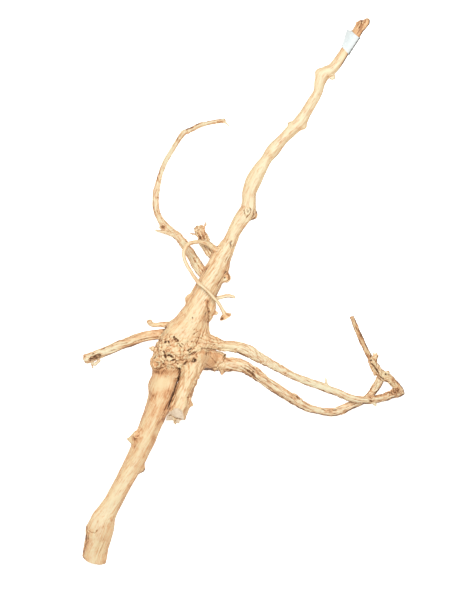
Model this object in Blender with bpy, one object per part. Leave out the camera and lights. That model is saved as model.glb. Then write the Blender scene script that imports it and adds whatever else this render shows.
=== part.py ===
"""A piece of spiderwood, peeled and dry, lying on a flat surface with a paper tag round its tip.

The wood is one branching root system, divided at its forks: a knotted crown, the thick main root and
the long main stem that run through it, and the roots, branches and twigs that leave them. It rests on
the sawn end of the main root, on the bend of the right roots and on the low bend of the curled branch.

Blender units are metres and +Z is up. The origin is on the ground under the middle of the piece. Every
station in the tables below is (x, y, z, radius) in millimetres, mostly from a limb's thick end to its tip.
"""

import math

import bmesh
import bpy
from mathutils import Matrix, Vector

MM = 0.001
GAP = 0.3 * MM  # left between two pieces of wood that meet at a fork
TAU = 2 * math.pi

# The one axis through main root, crown and main stem

MAIN_ROOT = [
    (-153.5, -286, 6.4, 11.4),
    (-150.3, -270, 10.3, 11.8),
    (-148.4, -259.2, 12.9, 12.2),
    (-145.9, -247.2, 16.6, 12.6),
    (-143.5, -237.6, 20, 13.4),
    (-140.8, -228, 22.5, 12.4),
    (-135.2, -218, 25, 10.2),
    (-129.4, -208, 27, 9.4),
    (-118, -188, 31, 9.1),
    (-107.2, -168, 34.5, 9.5),
    (-99, -148, 38.5, 10.6),
    (-92, -130, 42, 10.9),
    (-84, -110, 46, 12),
    (-80, -95, 48.5, 12.8),
    (-77.5, -82, 50.5, 13.1),
]
CROWN_CORE = [
    (-72, -68, 53, 17),
    (-63, -54, 56, 20),
    (-57, -41, 58.5, 18.5),
]
MAIN_STEM = [
    (-51, -29, 60, 16),
    (-46, -18, 61, 13.3),
    (-42, -8, 62, 12.6),
    (-37, 2, 62.5, 12.2),
    (-32, 12, 63, 12),
    (-26.5, 23, 64, 11.8),
    (-22.3, 34, 65, 10.3),
    (-17.5, 43, 66.5, 8.8),
    (-12.8, 52, 68, 7.1),
    (-8.3, 62, 70, 7),
    (-2.3, 72, 72, 7.8),
    (4, 81, 73.5, 7.8),
    (5.5, 90, 75, 6.7),
    (6, 99, 77, 6.9),
    (10, 110, 79.5, 7.3),
    (16.5, 122, 82.5, 6.8),
    (23, 132, 85, 5.1),
    (29.5, 141, 87, 6.3),
    (39, 152, 89.5, 5.2),
    (48, 161, 92, 5.7),
    (56, 169, 94, 6.5),
    (62.5, 179, 96.5, 5.4),
    (69, 189.5, 99, 5.3),
    (74, 199, 101.5, 4.8),
    (76.5, 208, 103.5, 5.3),
    (80.5, 217, 105.5, 6.6),
    (87.8, 222.2, 107.5, 5.4),
    (94.6, 230.6, 109.5, 5),
    (100, 238.5, 111.5, 5),
    (106, 247, 114, 5),
    (111.5, 255.5, 116.5, 5.1),
    (115.8, 262.7, 118.5, 5.1),
    (119, 267.8, 120.5, 4.2),
]

# Roots that leave the crown. Their first stations lie inside it, and FORK says at which station a root's
# own solid begins: the crown's collar reaches up to there.

SHORT_ROOT = [
    (-50, -64, 55, 10.5),
    (-51, -76, 57, 10.6),
    (-53.5, -87, 58.5, 9.6),
    (-57.3, -98, 60, 8.9),
    (-61, -109, 61.5, 9.6),
    (-65, -119, 63, 9.8),
    (-69, -129, 64.5, 9.4),
    (-73, -140, 66, 9.2),
]
LEFT_ROOT = [
    (-71, -43, 46.5, 6.2),
    (-83, -42.3, 45, 5),
    (-93, -43.2, 43.5, 4.8),
    (-103, -45.5, 41.5, 4.8),
    (-113, -49.2, 39, 4.6),
    (-123, -53, 36, 4.7),
    (-133, -57.2, 33, 4.6),
    (-143, -61, 30, 4.8),
    (-153, -65.5, 27, 5),
    (-159.5, -67.5, 25, 4.6),
]
LEFT_SPUR = [
    (-67, -34, 52, 4.5),
    (-75, -33, 51.5, 3.6),
    (-82, -32.7, 51.5, 2.7),
    (-88, -33, 52.5, 2.4),
    (-92, -31.7, 54, 2.6),
    (-94.5, -28.8, 56, 3.1),
]
RIGHT_UPPER_ROOT = [
    (-53, -50, 60, 9),
    (-40, -49, 61, 8.5),
    (-30, -51, 60, 6.6),
    (-20, -53.3, 58.5, 5.3),
    (-11, -54, 57, 5.2),
    (-2, -56, 55, 5.7),
    (7, -60, 53, 5.5),
    (17, -65.8, 50, 5),
    (29, -72.5, 46, 4.4),
    (47, -82.3, 40, 4),
    (62, -88.5, 35, 4),
    (77, -94, 30, 4.3),
    (92, -99.7, 25.5, 4.1),
    (107, -105.6, 21.5, 3.8),
    (119, -108.2, 18.5, 3.9),
    (130, -108, 14.5, 4.1),
    (141, -105.8, 9.8, 4.2),
    (149, -102.9, 6.6, 4.6),
    (155.5, -100.9, 5, 4.8),
    (161, -99, 4.8, 4.4),
]
RIGHT_LOWER_ROOT = [
    (-47, -64, 44, 10),
    (-37, -67, 43, 10),
    (-28, -68.5, 42, 9.6),
    (-20, -70.3, 41, 8.6),
    (-15, -72.7, 40, 7),
    (-3, -74, 38, 5.9),
    (7, -78.8, 35.5, 5.8),
    (17, -85.4, 32.5, 5.1),
    (32, -95.5, 28, 4.7),
    (47, -105.2, 23, 4.7),
    (57, -111.3, 19.5, 4.5),
    (67, -116, 16.5, 4.1),
    (77, -118.6, 13.5, 3.8),
    (88, -120, 11, 4),
    (98.5, -118.5, 8.7, 4.4),
    (108.5, -114, 7.3, 4.2),
    (118, -109.5, 7, 4),
    (125, -104, 8.5, 4),
    (130.6, -97, 11.5, 4.1),
    (135.5, -89.5, 15, 3.7),
    (137, -84, 18.5, 3),
]
RIGHT_HOOK = [
    (154, -101, 6.5, 4),
    (157, -96, 8.5, 3.7),
    (153.5, -90, 12, 3.5),
    (148.5, -85, 16, 4),
    (142, -83, 20, 4.2),
    (137, -79, 24, 3.8),
    (131.6, -72.5, 29, 3.1),
    (127.2, -66, 34, 2.9),
    (122.8, -58.5, 40, 2.6),
    (117.8, -48, 48, 2.4),
    (113, -37, 57, 2.3),
    (108.2, -25, 66, 2.2),
]
FORK = {"short_root": 2, "left_root": 1, "left_spur": 1, "right_upper_root": 3, "right_lower_root": 3}

# Branches and twigs that leave the main stem

CURLED_BRANCH = [
    (-33, 13, 57, 6),
    (-39, 19, 52, 5.2),
    (-44.5, 26, 47.5, 4.6),
    (-49, 33, 42.5, 4.3),
    (-53.5, 40, 38, 4.2),
    (-58.5, 47.5, 33.5, 4.1),
    (-65, 55, 28, 4),
    (-72.5, 61.7, 21.5, 3.6),
    (-79.2, 68.3, 16, 3.8),
    (-83.6, 75.3, 11, 3.1),
    (-86.8, 83.3, 6.5, 2.6),
    (-88, 92.5, 3.6, 2.75),
    (-87.2, 101.5, 2.9, 2.7),
    (-85.2, 111.5, 4.5, 2.3),
    (-82.2, 121.5, 8.5, 2.1),
    (-77.8, 132, 14, 2.1),
    (-71.7, 141.7, 20.5, 2.15),
    (-65.5, 151.5, 27.5, 2),
    (-59.7, 159.2, 33.5, 2.3),
    (-52, 162.7, 39, 2),
    (-43, 167.2, 45.5, 2.1),
    (-33, 169.6, 52, 1.7),
    (-24, 171, 57, 1.6),
    (-18.5, 171.6, 60, 1.7),
]
CURL_SPUR = [
    (-64, 55.5, 29.5, 2.8),
    (-72, 57.7, 26.5, 2.1),
    (-80, 60, 24.5, 1.7),
    (-88.5, 62, 23, 1.2),
]
LOOP_TWIG = [
    (-22, 39, 68, 3.5),
    (-28.5, 43, 70, 3.4),
    (-35, 47.4, 74, 2.6),
    (-42.5, 49.6, 79, 2),
    (-49.5, 49.4, 83, 2.1),
    (-55.5, 47, 86, 2.2),
    (-58.7, 41.5, 88, 2),
    (-59.1, 35, 89, 1.8),
    (-56.8, 28, 89, 1.75),
    (-52.7, 21, 88.5, 1.7),
    (-48.3, 14, 87.5, 1.85),
    (-44, 8.5, 86.5, 1.8),
    (-39, 4.2, 86, 1.5),
    (-34, -0.6, 85, 1.5),
    (-29.5, -5.7, 84, 1.5),
    (-25.2, -10.5, 82.5, 1.5),
    (-21.7, -16.3, 81, 1.6),
    (-18, -23, 78.8, 2.2),
]
BROKEN_BRANCH = [
    (-24, 34, 58, 6),
    (-31, 40.5, 53, 5.4),
    (-37, 48, 48.5, 5.2),
    (-41, 56, 44.5, 5.2),
    (-44, 63, 41, 4.9),
    (-45, 65.6, 40, 4),
]
SMALL_TWIG = [
    (-33, -7.5, 57.5, 2.3),
    (-24, -5.6, 55.5, 1.8),
    (-17, -4, 55, 1.9),
    (-12, -4.2, 55.5, 1.7),
    (-8, -5.6, 56.5, 1.2),
]

# Knots, burls and stubs, each (x, y, z, radius) in millimetres and fused to what it grows on

CROWN_LUMPS = [
    (-86.5, -70, 57, 8.5),
    (-79, -66, 62, 8.5),
    (-80, -54, 57, 8),
    (-75, -56, 66, 9.5),
    (-66, -68, 61, 9.5),
    (-62, -60, 68, 9),
    (-92, -56.5, 59, 2.6),
    (-48, -60, 58, 11.5),
    (-66, -40, 62, 12),
    (-58, -52, 42, 15),
    (-74, -60, 44, 11),
    (-44, -38, 60, 9),
]
STEM_LUMPS = [
    (-17.5, 14, 63, 5),
    (-53, -6.5, 63, 4.4),
    (-34, -17.5, 58, 5),
    (9.5, 76.8, 73, 4.6),
    (5, 80, 78.5, 4.2),
    (60.5, 164.8, 94, 3.3),
    (47.8, 166.3, 93, 2.6),
    (75.5, 217.5, 105.5, 4.4),
    (88.5, 213.5, 106, 2.4),
    (122, 267.2, 120.5, 3.3),
]
ROOT_LUMPS = [
    (-111.5, -147.5, 40, 3.6),
    (-107, -144, 44, 4.2),
    (-101, -176.5, 33, 4.4),
    (-150.5, -238, 21, 7.5),
]
SHORT_ROOT_LUMPS = [(-52.5, -112, 62, 2.8)]
LOOP_PAD = {
    "centre": (-17.7, -23.6, 78.4),
    "axis": (0.47, -0.83, -0.3),
    "neck_radius": 4.2,
    "radius": 5.8,
    "thickness": 4,
}

# Saw cuts: a point in the cut and the way that the sawn face looks

MAIN_ROOT_CUT = {"point": (-146, -274.6, 23.5), "normal": (-0.295, -0.874, -0.384)}
SHORT_ROOT_CUT = {"point": (-68.8, -116.7, 72.5), "normal": (-0.2, -0.6, 0.77)}
SHORT_ROOT_BREAK = {"point": (-69, -128.2, 60), "normal": (0.02, -1, 0)}

# The paper tag, wrapped once round the stem with its two ends pressed together on the left. TAG_STATIONS
# are (x, y) on the stem at its lower and upper edge, and TAG_SLANT is by how much the flap's side of each
# edge lies further along the stem. Lengths are in millimetres.

TAG_STATIONS = ((100, 238.5), (112, 256.3))
TAG_SLANT = (4.5, 2.2)
TAG_CLEARANCE = 0.35
TAG_THICKNESS = 0.5
TAG_FLAP = 3.8
TAG_FLAP_ANGLE = math.radians(165)
TAG_FLAP_HALF = math.radians(5.7)
TAG_SIDES = 20

# How each limb is drawn: its sides, the distance of its rings in millimetres and the seed of its flutes

TRUNK = {"sides": 14, "spacing": 8, "seed": 0.6}
LIMBS = {
    "short_root": {"stations": SHORT_ROOT, "sides": 14, "spacing": 6, "seed": 2.0},
    "left_root": {"stations": LEFT_ROOT, "sides": 10, "spacing": 6, "seed": 1.1},
    "left_spur": {"stations": LEFT_SPUR, "sides": 8, "spacing": 4, "seed": 3.0},
    "right_upper_root": {"stations": RIGHT_UPPER_ROOT, "sides": 10, "spacing": 6, "seed": 4.2},
    "right_lower_root": {"stations": RIGHT_LOWER_ROOT, "sides": 10, "spacing": 6, "seed": 5.3},
    "right_hook": {"stations": RIGHT_HOOK, "sides": 8, "spacing": 5, "seed": 0.4},
    "curled_branch": {"stations": CURLED_BRANCH, "sides": 8, "spacing": 5, "seed": 1.7},
    "curl_spur": {"stations": CURL_SPUR, "sides": 8, "spacing": 5, "seed": 2.9},
    "loop_twig": {"stations": LOOP_TWIG, "sides": 8, "spacing": 4.5, "seed": 3.3},
    "broken_branch": {"stations": BROKEN_BRANCH, "sides": 10, "spacing": 5, "seed": 5.9},
    "small_twig": {"stations": SMALL_TWIG, "sides": 8, "spacing": 4, "seed": 4.8},
}
BRANCHES_OF = {
    "right_hook": "right_upper_root",
    "curled_branch": "main_stem",
    "loop_twig": "main_stem",
    "broken_branch": "main_stem",
    "small_twig": "main_stem",
}
STEM_FORK_RINGS = 15  # the part of the stem that branches leave
SOCKET_ROOM = 1.2  # a socket is wider than its limb, so that no thin shell is left round it
SOCKET_RINGS = 4
CROWN_VOXEL = 2.2
CROWN_FACES_KEPT = 0.21

WOOD_TONES = {
    "main_root": (0.80, 0.55, 0.33),
    "root_crown": (0.78, 0.56, 0.35),
    "main_stem": (0.86, 0.66, 0.42),
    "short_root": (0.80, 0.58, 0.37),
    "left_root": (0.78, 0.55, 0.36),
    "left_spur": (0.78, 0.55, 0.35),
    "right_upper_root": (0.86, 0.67, 0.43),
    "right_lower_root": (0.74, 0.52, 0.33),
    "right_hook": (0.72, 0.50, 0.33),
    "curled_branch": (0.84, 0.66, 0.43),
    "loop_twig": (0.86, 0.68, 0.44),
    "broken_branch": (0.66, 0.43, 0.27),
    "small_twig": (0.82, 0.66, 0.44),
}
PAPER_WHITE = (0.90, 0.93, 0.92)


def fluting(angle, along, seed):
    """How far a limb's outline stands out at this angle, as a share of its radius. along is in metres."""
    two = 0.045 * math.cos(2 * angle + 26 * along + seed)
    three = 0.03 * math.cos(3 * angle - 38 * along + 2.1 * seed)
    five = 0.016 * math.cos(5 * angle + 61 * along + 3.7 * seed)
    return two + three + five


def curve_point(a, b, c, d, t):
    """The point at t between b and c on the smooth curve through a, b, c and d."""
    linear = (c - a) / 2
    square = a - b * 2.5 + c * 2 - d * 0.5
    cubic = b * 1.5 - c * 1.5 + (d - a) / 2
    return b + linear * t + square * t**2 + cubic * t**3


def smooth_route(stations, spacing):
    """The rings of a limb, each (centre, tangent, radius, along) in metres, and each station's ring."""
    rows = [Vector(s) * MM for s in stations]
    rows = [rows[0] * 2 - rows[1], *rows, rows[-1] * 2 - rows[-2]]
    points, marks = [], []
    for a, b, c, d in zip(rows, rows[1:], rows[2:], rows[3:]):
        steps = max(1, round((c.xyz - b.xyz).length / (spacing * MM)))
        marks.append(len(points))
        points += [curve_point(a, b, c, d, k / steps) for k in range(steps)]
    marks.append(len(points))
    points.append(rows[-2])
    rings, along = [], 0.0
    for i, point in enumerate(points):
        before = points[max(i - 1, 0)].xyz
        after = points[min(i + 1, len(points) - 1)].xyz
        if i:
            along += (point.xyz - before).length
        rings.append((point.xyz, (after - before).normalized(), point.w, along))
    return rings, marks


def limb_route(name):
    limb = LIMBS[name]
    return smooth_route(limb["stations"], limb["spacing"])


def across(tangent):
    """The sideways and the upward direction square to a limb's tangent."""
    side = tangent.cross(Vector((0, 0, 1))).normalized()
    return side, side.cross(tangent)


def ring_points(ring, limb, grow):
    """The corners of one ring of a limb's outline."""
    centre, tangent, radius, along = ring
    side, up = across(tangent)
    for k in range(limb["sides"]):
        angle = TAU * k / limb["sides"]
        reach = radius * (1 + fluting(angle, along, limb["seed"])) + grow
        yield centre + (side * math.cos(angle) + up * math.sin(angle)) * reach


def add_limb(bm, rings, limb, grow=0.0, longer=0.0):
    """A closed tube through the rings, fatter by grow all round and longer by longer at both of its ends."""
    rings = list(rings)
    for end, sign in ((0, -1), (-1, 1)):
        centre, tangent, radius, along = rings[end]
        rings[end] = (centre + tangent * (sign * longer), tangent, radius, along)
    loops = [[bm.verts.new(p) for p in ring_points(ring, limb, grow)] for ring in rings]
    count = limb["sides"]
    for lower, upper in zip(loops, loops[1:]):
        for k in range(count):
            j = (k + 1) % count
            bm.faces.new((lower[k], lower[j], upper[j], upper[k]))
    bm.faces.new(reversed(loops[0]))
    bm.faces.new(loops[-1])


def add_lump(bm, lump):
    x, y, z, radius = lump
    place = Matrix.Translation(Vector((x, y, z)) * MM)
    bmesh.ops.create_icosphere(bm, subdivisions=2, radius=radius * MM, matrix=place)


def saw(bm, cut):
    """Cuts away all that lies past the plane of a saw cut and closes the sawn face."""
    made = bmesh.ops.bisect_plane(
        bm,
        geom=bm.verts[:] + bm.edges[:] + bm.faces[:],
        plane_co=Vector(cut["point"]) * MM,
        plane_no=Vector(cut["normal"]).normalized(),
        clear_outer=True,
    )
    rim = [e for e in made["geom_cut"] if isinstance(e, bmesh.types.BMEdge)]
    bmesh.ops.holes_fill(bm, edges=rim, sides=0)


def surface(name):
    """The object's own material, with the tone of its wood or the white of the paper."""
    paper = name == "paper_tag"
    tone = PAPER_WHITE if paper else WOOD_TONES[name]
    material = bpy.data.materials.new(name)
    material.use_nodes = True
    shader = material.node_tree.nodes["Principled BSDF"]
    shader.inputs["Base Color"].default_value = (*tone, 1)
    shader.inputs["Roughness"].default_value = 0.8 if paper else 0.65
    shader.inputs["Metallic"].default_value = 0.0
    return material


def make_object(name, bm, helper=False):
    bmesh.ops.recalc_face_normals(bm, faces=bm.faces[:])
    mesh = bpy.data.meshes.new(name)
    bm.to_mesh(mesh)
    bm.free()
    mesh.shade_smooth()
    mesh.set_sharp_from_angle(angle=math.radians(50))
    obj = bpy.data.objects.new(name, mesh)
    bpy.context.collection.objects.link(obj)
    if helper:
        obj.hide_render = True
        obj.display_type = "WIRE"
    else:
        mesh.materials.append(surface(name))
    return obj


def boolean(obj, helper, operation):
    modifier = obj.modifiers.new(f"{operation.lower()} {helper.name}", "BOOLEAN")
    modifier.operation = operation
    modifier.object = helper


def fuse_lumps(obj, lumps):
    """Joins knots and stubs to the limb that they grow on."""
    for i, lump in enumerate(lumps):
        bm = bmesh.new()
        add_lump(bm, lump)
        boolean(obj, make_object(f"{obj.name}_lump_{i}", bm, helper=True), "UNION")


def clearance(name, rings, limb):
    """A helper one gap fatter and longer than a limb, to cut its neighbours back with."""
    bm = bmesh.new()
    add_limb(bm, rings, limb, grow=GAP, longer=GAP)
    return make_object(name, bm, helper=True)


def build_trunk():
    """Main root and main stem. Returns their rings and the first and the last of those in the crown."""
    rings, marks = smooth_route(MAIN_ROOT + CROWN_CORE + MAIN_STEM, TRUNK["spacing"])
    first = marks[len(MAIN_ROOT) - 1]
    last = marks[len(MAIN_ROOT) + len(CROWN_CORE)]
    bm = bmesh.new()
    add_limb(bm, rings[: first + 1], TRUNK)
    saw(bm, MAIN_ROOT_CUT)
    fuse_lumps(make_object("main_root", bm), ROOT_LUMPS)
    bm = bmesh.new()
    add_limb(bm, rings[last:], TRUNK)
    fuse_lumps(make_object("main_stem", bm), STEM_LUMPS)
    return rings, first, last


def build_roots():
    """The roots that leave the crown, each from its fork outwards."""
    for name, station in FORK.items():
        rings, marks = limb_route(name)
        bm = bmesh.new()
        add_limb(bm, rings[marks[station] :], LIMBS[name])
        if name == "short_root":
            saw(bm, SHORT_ROOT_CUT)
            saw(bm, SHORT_ROOT_BREAK)
        make_object(name, bm)
    fuse_lumps(bpy.data.objects["short_root"], SHORT_ROOT_LUMPS)


def build_crown(trunk, first, last):
    """The knotted crown: one skin over the trunk's core, the burls and the roots' collars."""
    sockets = {
        "main_root": (trunk[first - SOCKET_RINGS : first + 1], TRUNK),
        "main_stem": (trunk[last : last + SOCKET_RINGS + 1], TRUNK),
    }
    bm = bmesh.new()
    add_limb(bm, trunk[first - 1 : last + 2], TRUNK)
    for lump in CROWN_LUMPS:
        add_lump(bm, lump)
    for name, station in FORK.items():
        rings, marks = limb_route(name)
        start = marks[station]
        add_limb(bm, rings[: start + 2], LIMBS[name])
        sockets[name] = (rings[start : start + SOCKET_RINGS + 1], LIMBS[name])
    crown = make_object("root_crown", bm)
    skin = crown.modifiers.new("one skin", "REMESH")
    skin.mode = "VOXEL"
    skin.voxel_size = CROWN_VOXEL * MM
    soften = crown.modifiers.new("soften the forks", "SMOOTH")
    soften.factor = 0.5
    soften.iterations = 3
    thin = crown.modifiers.new("fewer faces", "DECIMATE")
    thin.ratio = CROWN_FACES_KEPT
    for name, (rings, limb) in sockets.items():
        bm = bmesh.new()
        add_limb(bm, rings, limb, grow=SOCKET_ROOM * MM, longer=GAP)
        boolean(crown, make_object(f"{name}_socket", bm, helper=True), "DIFFERENCE")


def build_branches(trunk, last):
    """Branches and twigs, each cut back one gap from the limb that it leaves."""
    stem = clearance("stem_clearance", trunk[last : last + STEM_FORK_RINGS], TRUNK)
    for name, parent in BRANCHES_OF.items():
        rings, _ = limb_route(name)
        bm = bmesh.new()
        add_limb(bm, rings, LIMBS[name])
        obj = make_object(name, bm)
        if parent == "main_stem":
            boolean(obj, stem, "DIFFERENCE")
        else:
            rings, _ = limb_route(parent)
            boolean(obj, clearance(f"{parent}_clearance", rings, LIMBS[parent]), "DIFFERENCE")


def part_root_tip_from_hook():
    """Cuts the tip of the lower right root back to where it meets the hook's twig."""
    rings, _ = limb_route("right_hook")
    helper = clearance("hook_clearance", rings, LIMBS["right_hook"])
    boolean(bpy.data.objects["right_lower_root"], helper, "DIFFERENCE")


def build_curl_spur():
    """The broken spur that grows on the curled branch."""
    rings, _ = limb_route("curl_spur")
    bm = bmesh.new()
    add_limb(bm, rings, LIMBS["curl_spur"])
    boolean(bpy.data.objects["curled_branch"], make_object("curl_spur", bm, helper=True), "UNION")


def build_loop_pad():
    """The flat scar that ends the loop twig."""
    turn = Vector(LOOP_PAD["axis"]).to_track_quat("Z", "Y").to_matrix().to_4x4()
    bm = bmesh.new()
    bmesh.ops.create_cone(
        bm,
        cap_ends=True,
        segments=12,
        radius1=LOOP_PAD["neck_radius"] * MM,
        radius2=LOOP_PAD["radius"] * MM,
        depth=LOOP_PAD["thickness"] * MM,
        matrix=Matrix.Translation(Vector(LOOP_PAD["centre"]) * MM) @ turn,
    )
    boolean(bpy.data.objects["loop_twig"], make_object("loop_pad", bm, helper=True), "UNION")


def nearest_ring(rings, x, y):
    """The number of the ring that lies nearest to a place seen from above."""
    return min(range(len(rings)), key=lambda i: math.dist(rings[i][0].xy, (x * MM, y * MM)))


def tag_ring(bm, ring, slant, angles):
    """The inner and the outer corners of the tag's sleeve round one ring of the stem."""
    centre, tangent, radius, along = ring
    side, up = across(tangent)
    inner, outer = [], []
    for angle in angles:
        off_flap = angle - TAG_FLAP_ANGLE
        way = side * math.cos(angle) + up * math.sin(angle)
        base = centre + tangent * (slant * MM * (1 + math.cos(off_flap)) / 2)
        reach = radius * (1 + fluting(angle, along, TRUNK["seed"])) + TAG_CLEARANCE * MM
        flap = TAG_FLAP if abs(off_flap) < TAG_FLAP_HALF else 0
        inner.append(bm.verts.new(base + way * reach))
        outer.append(bm.verts.new(base + way * (reach + (TAG_THICKNESS + flap) * MM)))
    return inner, outer


def build_tag(trunk):
    """The paper tag: a thin sleeve that follows the stem, with a flap where its ends are pressed together."""
    low, high = (nearest_ring(trunk, x, y) for x, y in TAG_STATIONS)
    flap_root = TAG_FLAP_HALF + math.radians(4)
    flap_tip = TAG_FLAP_HALF - math.radians(1.5)
    round_it = [TAU * k / TAG_SIDES for k in range(TAG_SIDES)]
    angles = [a for a in round_it if abs(a - TAG_FLAP_ANGLE) > flap_root]
    angles += [TAG_FLAP_ANGLE + offset for offset in (-flap_root, -flap_tip, flap_tip, flap_root)]
    angles.sort()
    bm = bmesh.new()
    loops = []
    for i in range(low, high + 1):
        share = (i - low) / (high - low)
        slant = TAG_SLANT[0] + (TAG_SLANT[1] - TAG_SLANT[0]) * share
        loops.append(tag_ring(bm, trunk[i], slant, angles))
    count = len(angles)
    for (inner, outer), (next_inner, next_outer) in zip(loops, loops[1:]):
        for k in range(count):
            j = (k + 1) % count
            bm.faces.new((outer[k], outer[j], next_outer[j], next_outer[k]))
            bm.faces.new((inner[j], inner[k], next_inner[k], next_inner[j]))
    for inner, outer in (loops[0], loops[-1]):
        for k in range(count):
            j = (k + 1) % count
            bm.faces.new((inner[k], inner[j], outer[j], outer[k]))
    make_object("paper_tag", bm)


def main():
    for obj in list(bpy.data.objects):
        bpy.data.objects.remove(obj)
    trunk, first, last = build_trunk()
    build_roots()
    build_crown(trunk, first, last)
    build_branches(trunk, last)
    part_root_tip_from_hook()
    build_curl_spur()
    build_loop_pad()
    build_tag(trunk)


main()
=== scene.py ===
"""A piece of spiderwood, peeled and dry, lying on a flat surface with a bare paper tag round its tip.

The wood is shaped as one solid and then divided at its forks, so that its pieces meet without a seam.
Each limb is a centreline with a radius. A block of small cells holds the distance to the nearest wood:
limbs are joined there with soft forks, saw cuts, holes, cracks and knots are worked into it, and its skin
is drawn out as a mesh. Grain, flutes and fine pits are then pressed into that skin.

Lengths are in millimetres until a mesh is made, and +Z is up. A place given as (across, down) is read
off a plan of the wood from above, 1 mm to the unit, from the plan's upper left corner.
"""

import math

import bmesh
import bpy
import numpy as np
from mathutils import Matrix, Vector


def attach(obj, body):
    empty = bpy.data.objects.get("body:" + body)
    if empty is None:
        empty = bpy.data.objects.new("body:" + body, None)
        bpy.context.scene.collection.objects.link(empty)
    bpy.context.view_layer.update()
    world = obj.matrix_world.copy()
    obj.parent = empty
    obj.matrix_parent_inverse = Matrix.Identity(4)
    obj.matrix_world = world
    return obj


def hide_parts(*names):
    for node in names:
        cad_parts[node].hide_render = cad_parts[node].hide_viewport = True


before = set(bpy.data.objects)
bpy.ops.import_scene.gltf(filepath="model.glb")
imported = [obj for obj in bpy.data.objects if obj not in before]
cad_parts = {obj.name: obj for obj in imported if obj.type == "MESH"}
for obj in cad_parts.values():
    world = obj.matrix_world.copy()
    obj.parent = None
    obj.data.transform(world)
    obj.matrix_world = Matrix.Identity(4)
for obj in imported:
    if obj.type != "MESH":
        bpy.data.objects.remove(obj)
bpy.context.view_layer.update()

MM = 0.001
TAU = 2 * math.pi
CELL = 0.55  # the size of the cells that hold the distances
BLOCK = 8  # cells along the side of a block
BAND = 2.4  # how far outside the wood distances are kept
FAR = 3.0  # the distance of a cell that no limb comes near
STEP = 1.0  # between two samples of a centreline
FLUTE_ROOM = 1.15  # the most that flutes widen a limb
POINTS_AT_ONCE = 20000
BLOCKS_AT_ONCE = 1200
GAPS_AT_ONCE = 200
CORNERS = [(i, j, k) for i in (0, 1) for j in (0, 1) for k in (0, 1)]

# The plan and the camera that looks straight down on it

PLAN_CORNER = (-243.3, 292.0)
PLAN_MIDDLE = (-13.3, -6.5)
PLAN_LENGTH = 597  # from its upper to its lower edge
PLAN_HEIGHT = 50
CAMERA_ABOVE = 8000  # how far above the plan's height it is
CAMERA_SENSOR = 36
CAMERA_END = 30  # how far it sees, in metres

# The room, in metres

ROOM_COLOUR = (1.0, 0.92, 0.82, 1.0)
ROOM_LIGHT = 0.25
WINDOW_PLACE = (-0.1, 0.26, 2.47)
WINDOW_TARGET = (-0.02, 0, 0.05)
WINDOW_SIZE = 1.1
WINDOW_POWER = 94
FLOOR_HALF = 6
FLOOR_SHADES = ((0.60, 0.585, 0.56), (0.63, 0.615, 0.59))
FLOOR_GLOW_COLOUR = (1, 0.985, 0.96, 1)
FLOOR_GLOW = 0.88

# Looks that belong to places on the wood

CROWN_MIDDLE = (-68, -59, 62)  # of its knotted and pitted part
CROWN_SIZE = (27, 18, 22)
PAINTED_SHADE_SIDE = (0.66, -0.75, 0)  # the way that the limb sides face which get the most painted shade
LOOKS_BLEND = 24  # rounds of smoothing where a limb's looks meet its neighbour's

# Centrelines as rows of x, y, z and radius. One line runs through main root, crown and main stem

MAIN_ROOT = [
    (-153.5, -286, 6.4, 11.4), (-150.3, -270, 10.3, 11.8), (-148.4, -259.2, 12.9, 12.2),
    (-145.4, -247.2, 16.6, 13), (-143.2, -237.6, 20, 13.4), (-140.8, -228, 22.5, 12.4),
    (-135.2, -218, 25, 10.2), (-129.4, -208, 27, 9.4), (-118.3, -188, 31, 9.5), (-107.6, -168, 34.5, 9.9),
    (-99.2, -148, 38.5, 10.8), (-92, -130, 42, 10.9), (-84, -110, 46, 12), (-80, -95, 48.5, 12.8),
    (-77.5, -82, 50.5, 13.1),
]
CROWN_CORE = [
    (-72, -68, 53, 17), (-63, -54, 56, 20), (-57, -41, 58.5, 18.5),
]
MAIN_STEM = [
    (-51, -29, 60, 16), (-46, -18, 61, 13.3), (-42, -8, 62, 12.6), (-37, 2, 62.5, 12.2), (-32, 12, 63, 12),
    (-26.5, 23, 64, 11.8), (-22.3, 34, 65, 10.3), (-17.5, 43, 66.5, 8.8), (-12.8, 52, 68, 7.1),
    (-8.3, 62, 70, 7), (-2.3, 72, 72, 7.8), (4, 81, 73.5, 7.8), (5.5, 90, 75, 6.7), (6, 99, 77, 6.9),
    (10, 110, 79.5, 7.3), (16.5, 122, 82.5, 6.8), (23, 132, 85, 5.1), (29.5, 141, 87, 6.3),
    (39, 152, 89.5, 5.2), (48, 161, 92, 5.7), (56, 169, 94, 6.5), (62.5, 179, 96.5, 5.4),
    (69, 189.5, 99, 5.3), (74, 199, 101.5, 4.8), (75.9, 208, 103.5, 5.6), (80.5, 217, 105.5, 6.4),
    (88.6, 222, 107.5, 5.3), (95.4, 230.4, 109.5, 5), (100.6, 238.3, 111.5, 5), (106, 247, 114, 5),
    (111.5, 255.5, 116.5, 5.1), (115.8, 262.7, 118.5, 5.1), (119, 267.8, 120.5, 4.2),
]

# Roots that leave the crown. Their first stations lie inside it.

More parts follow.
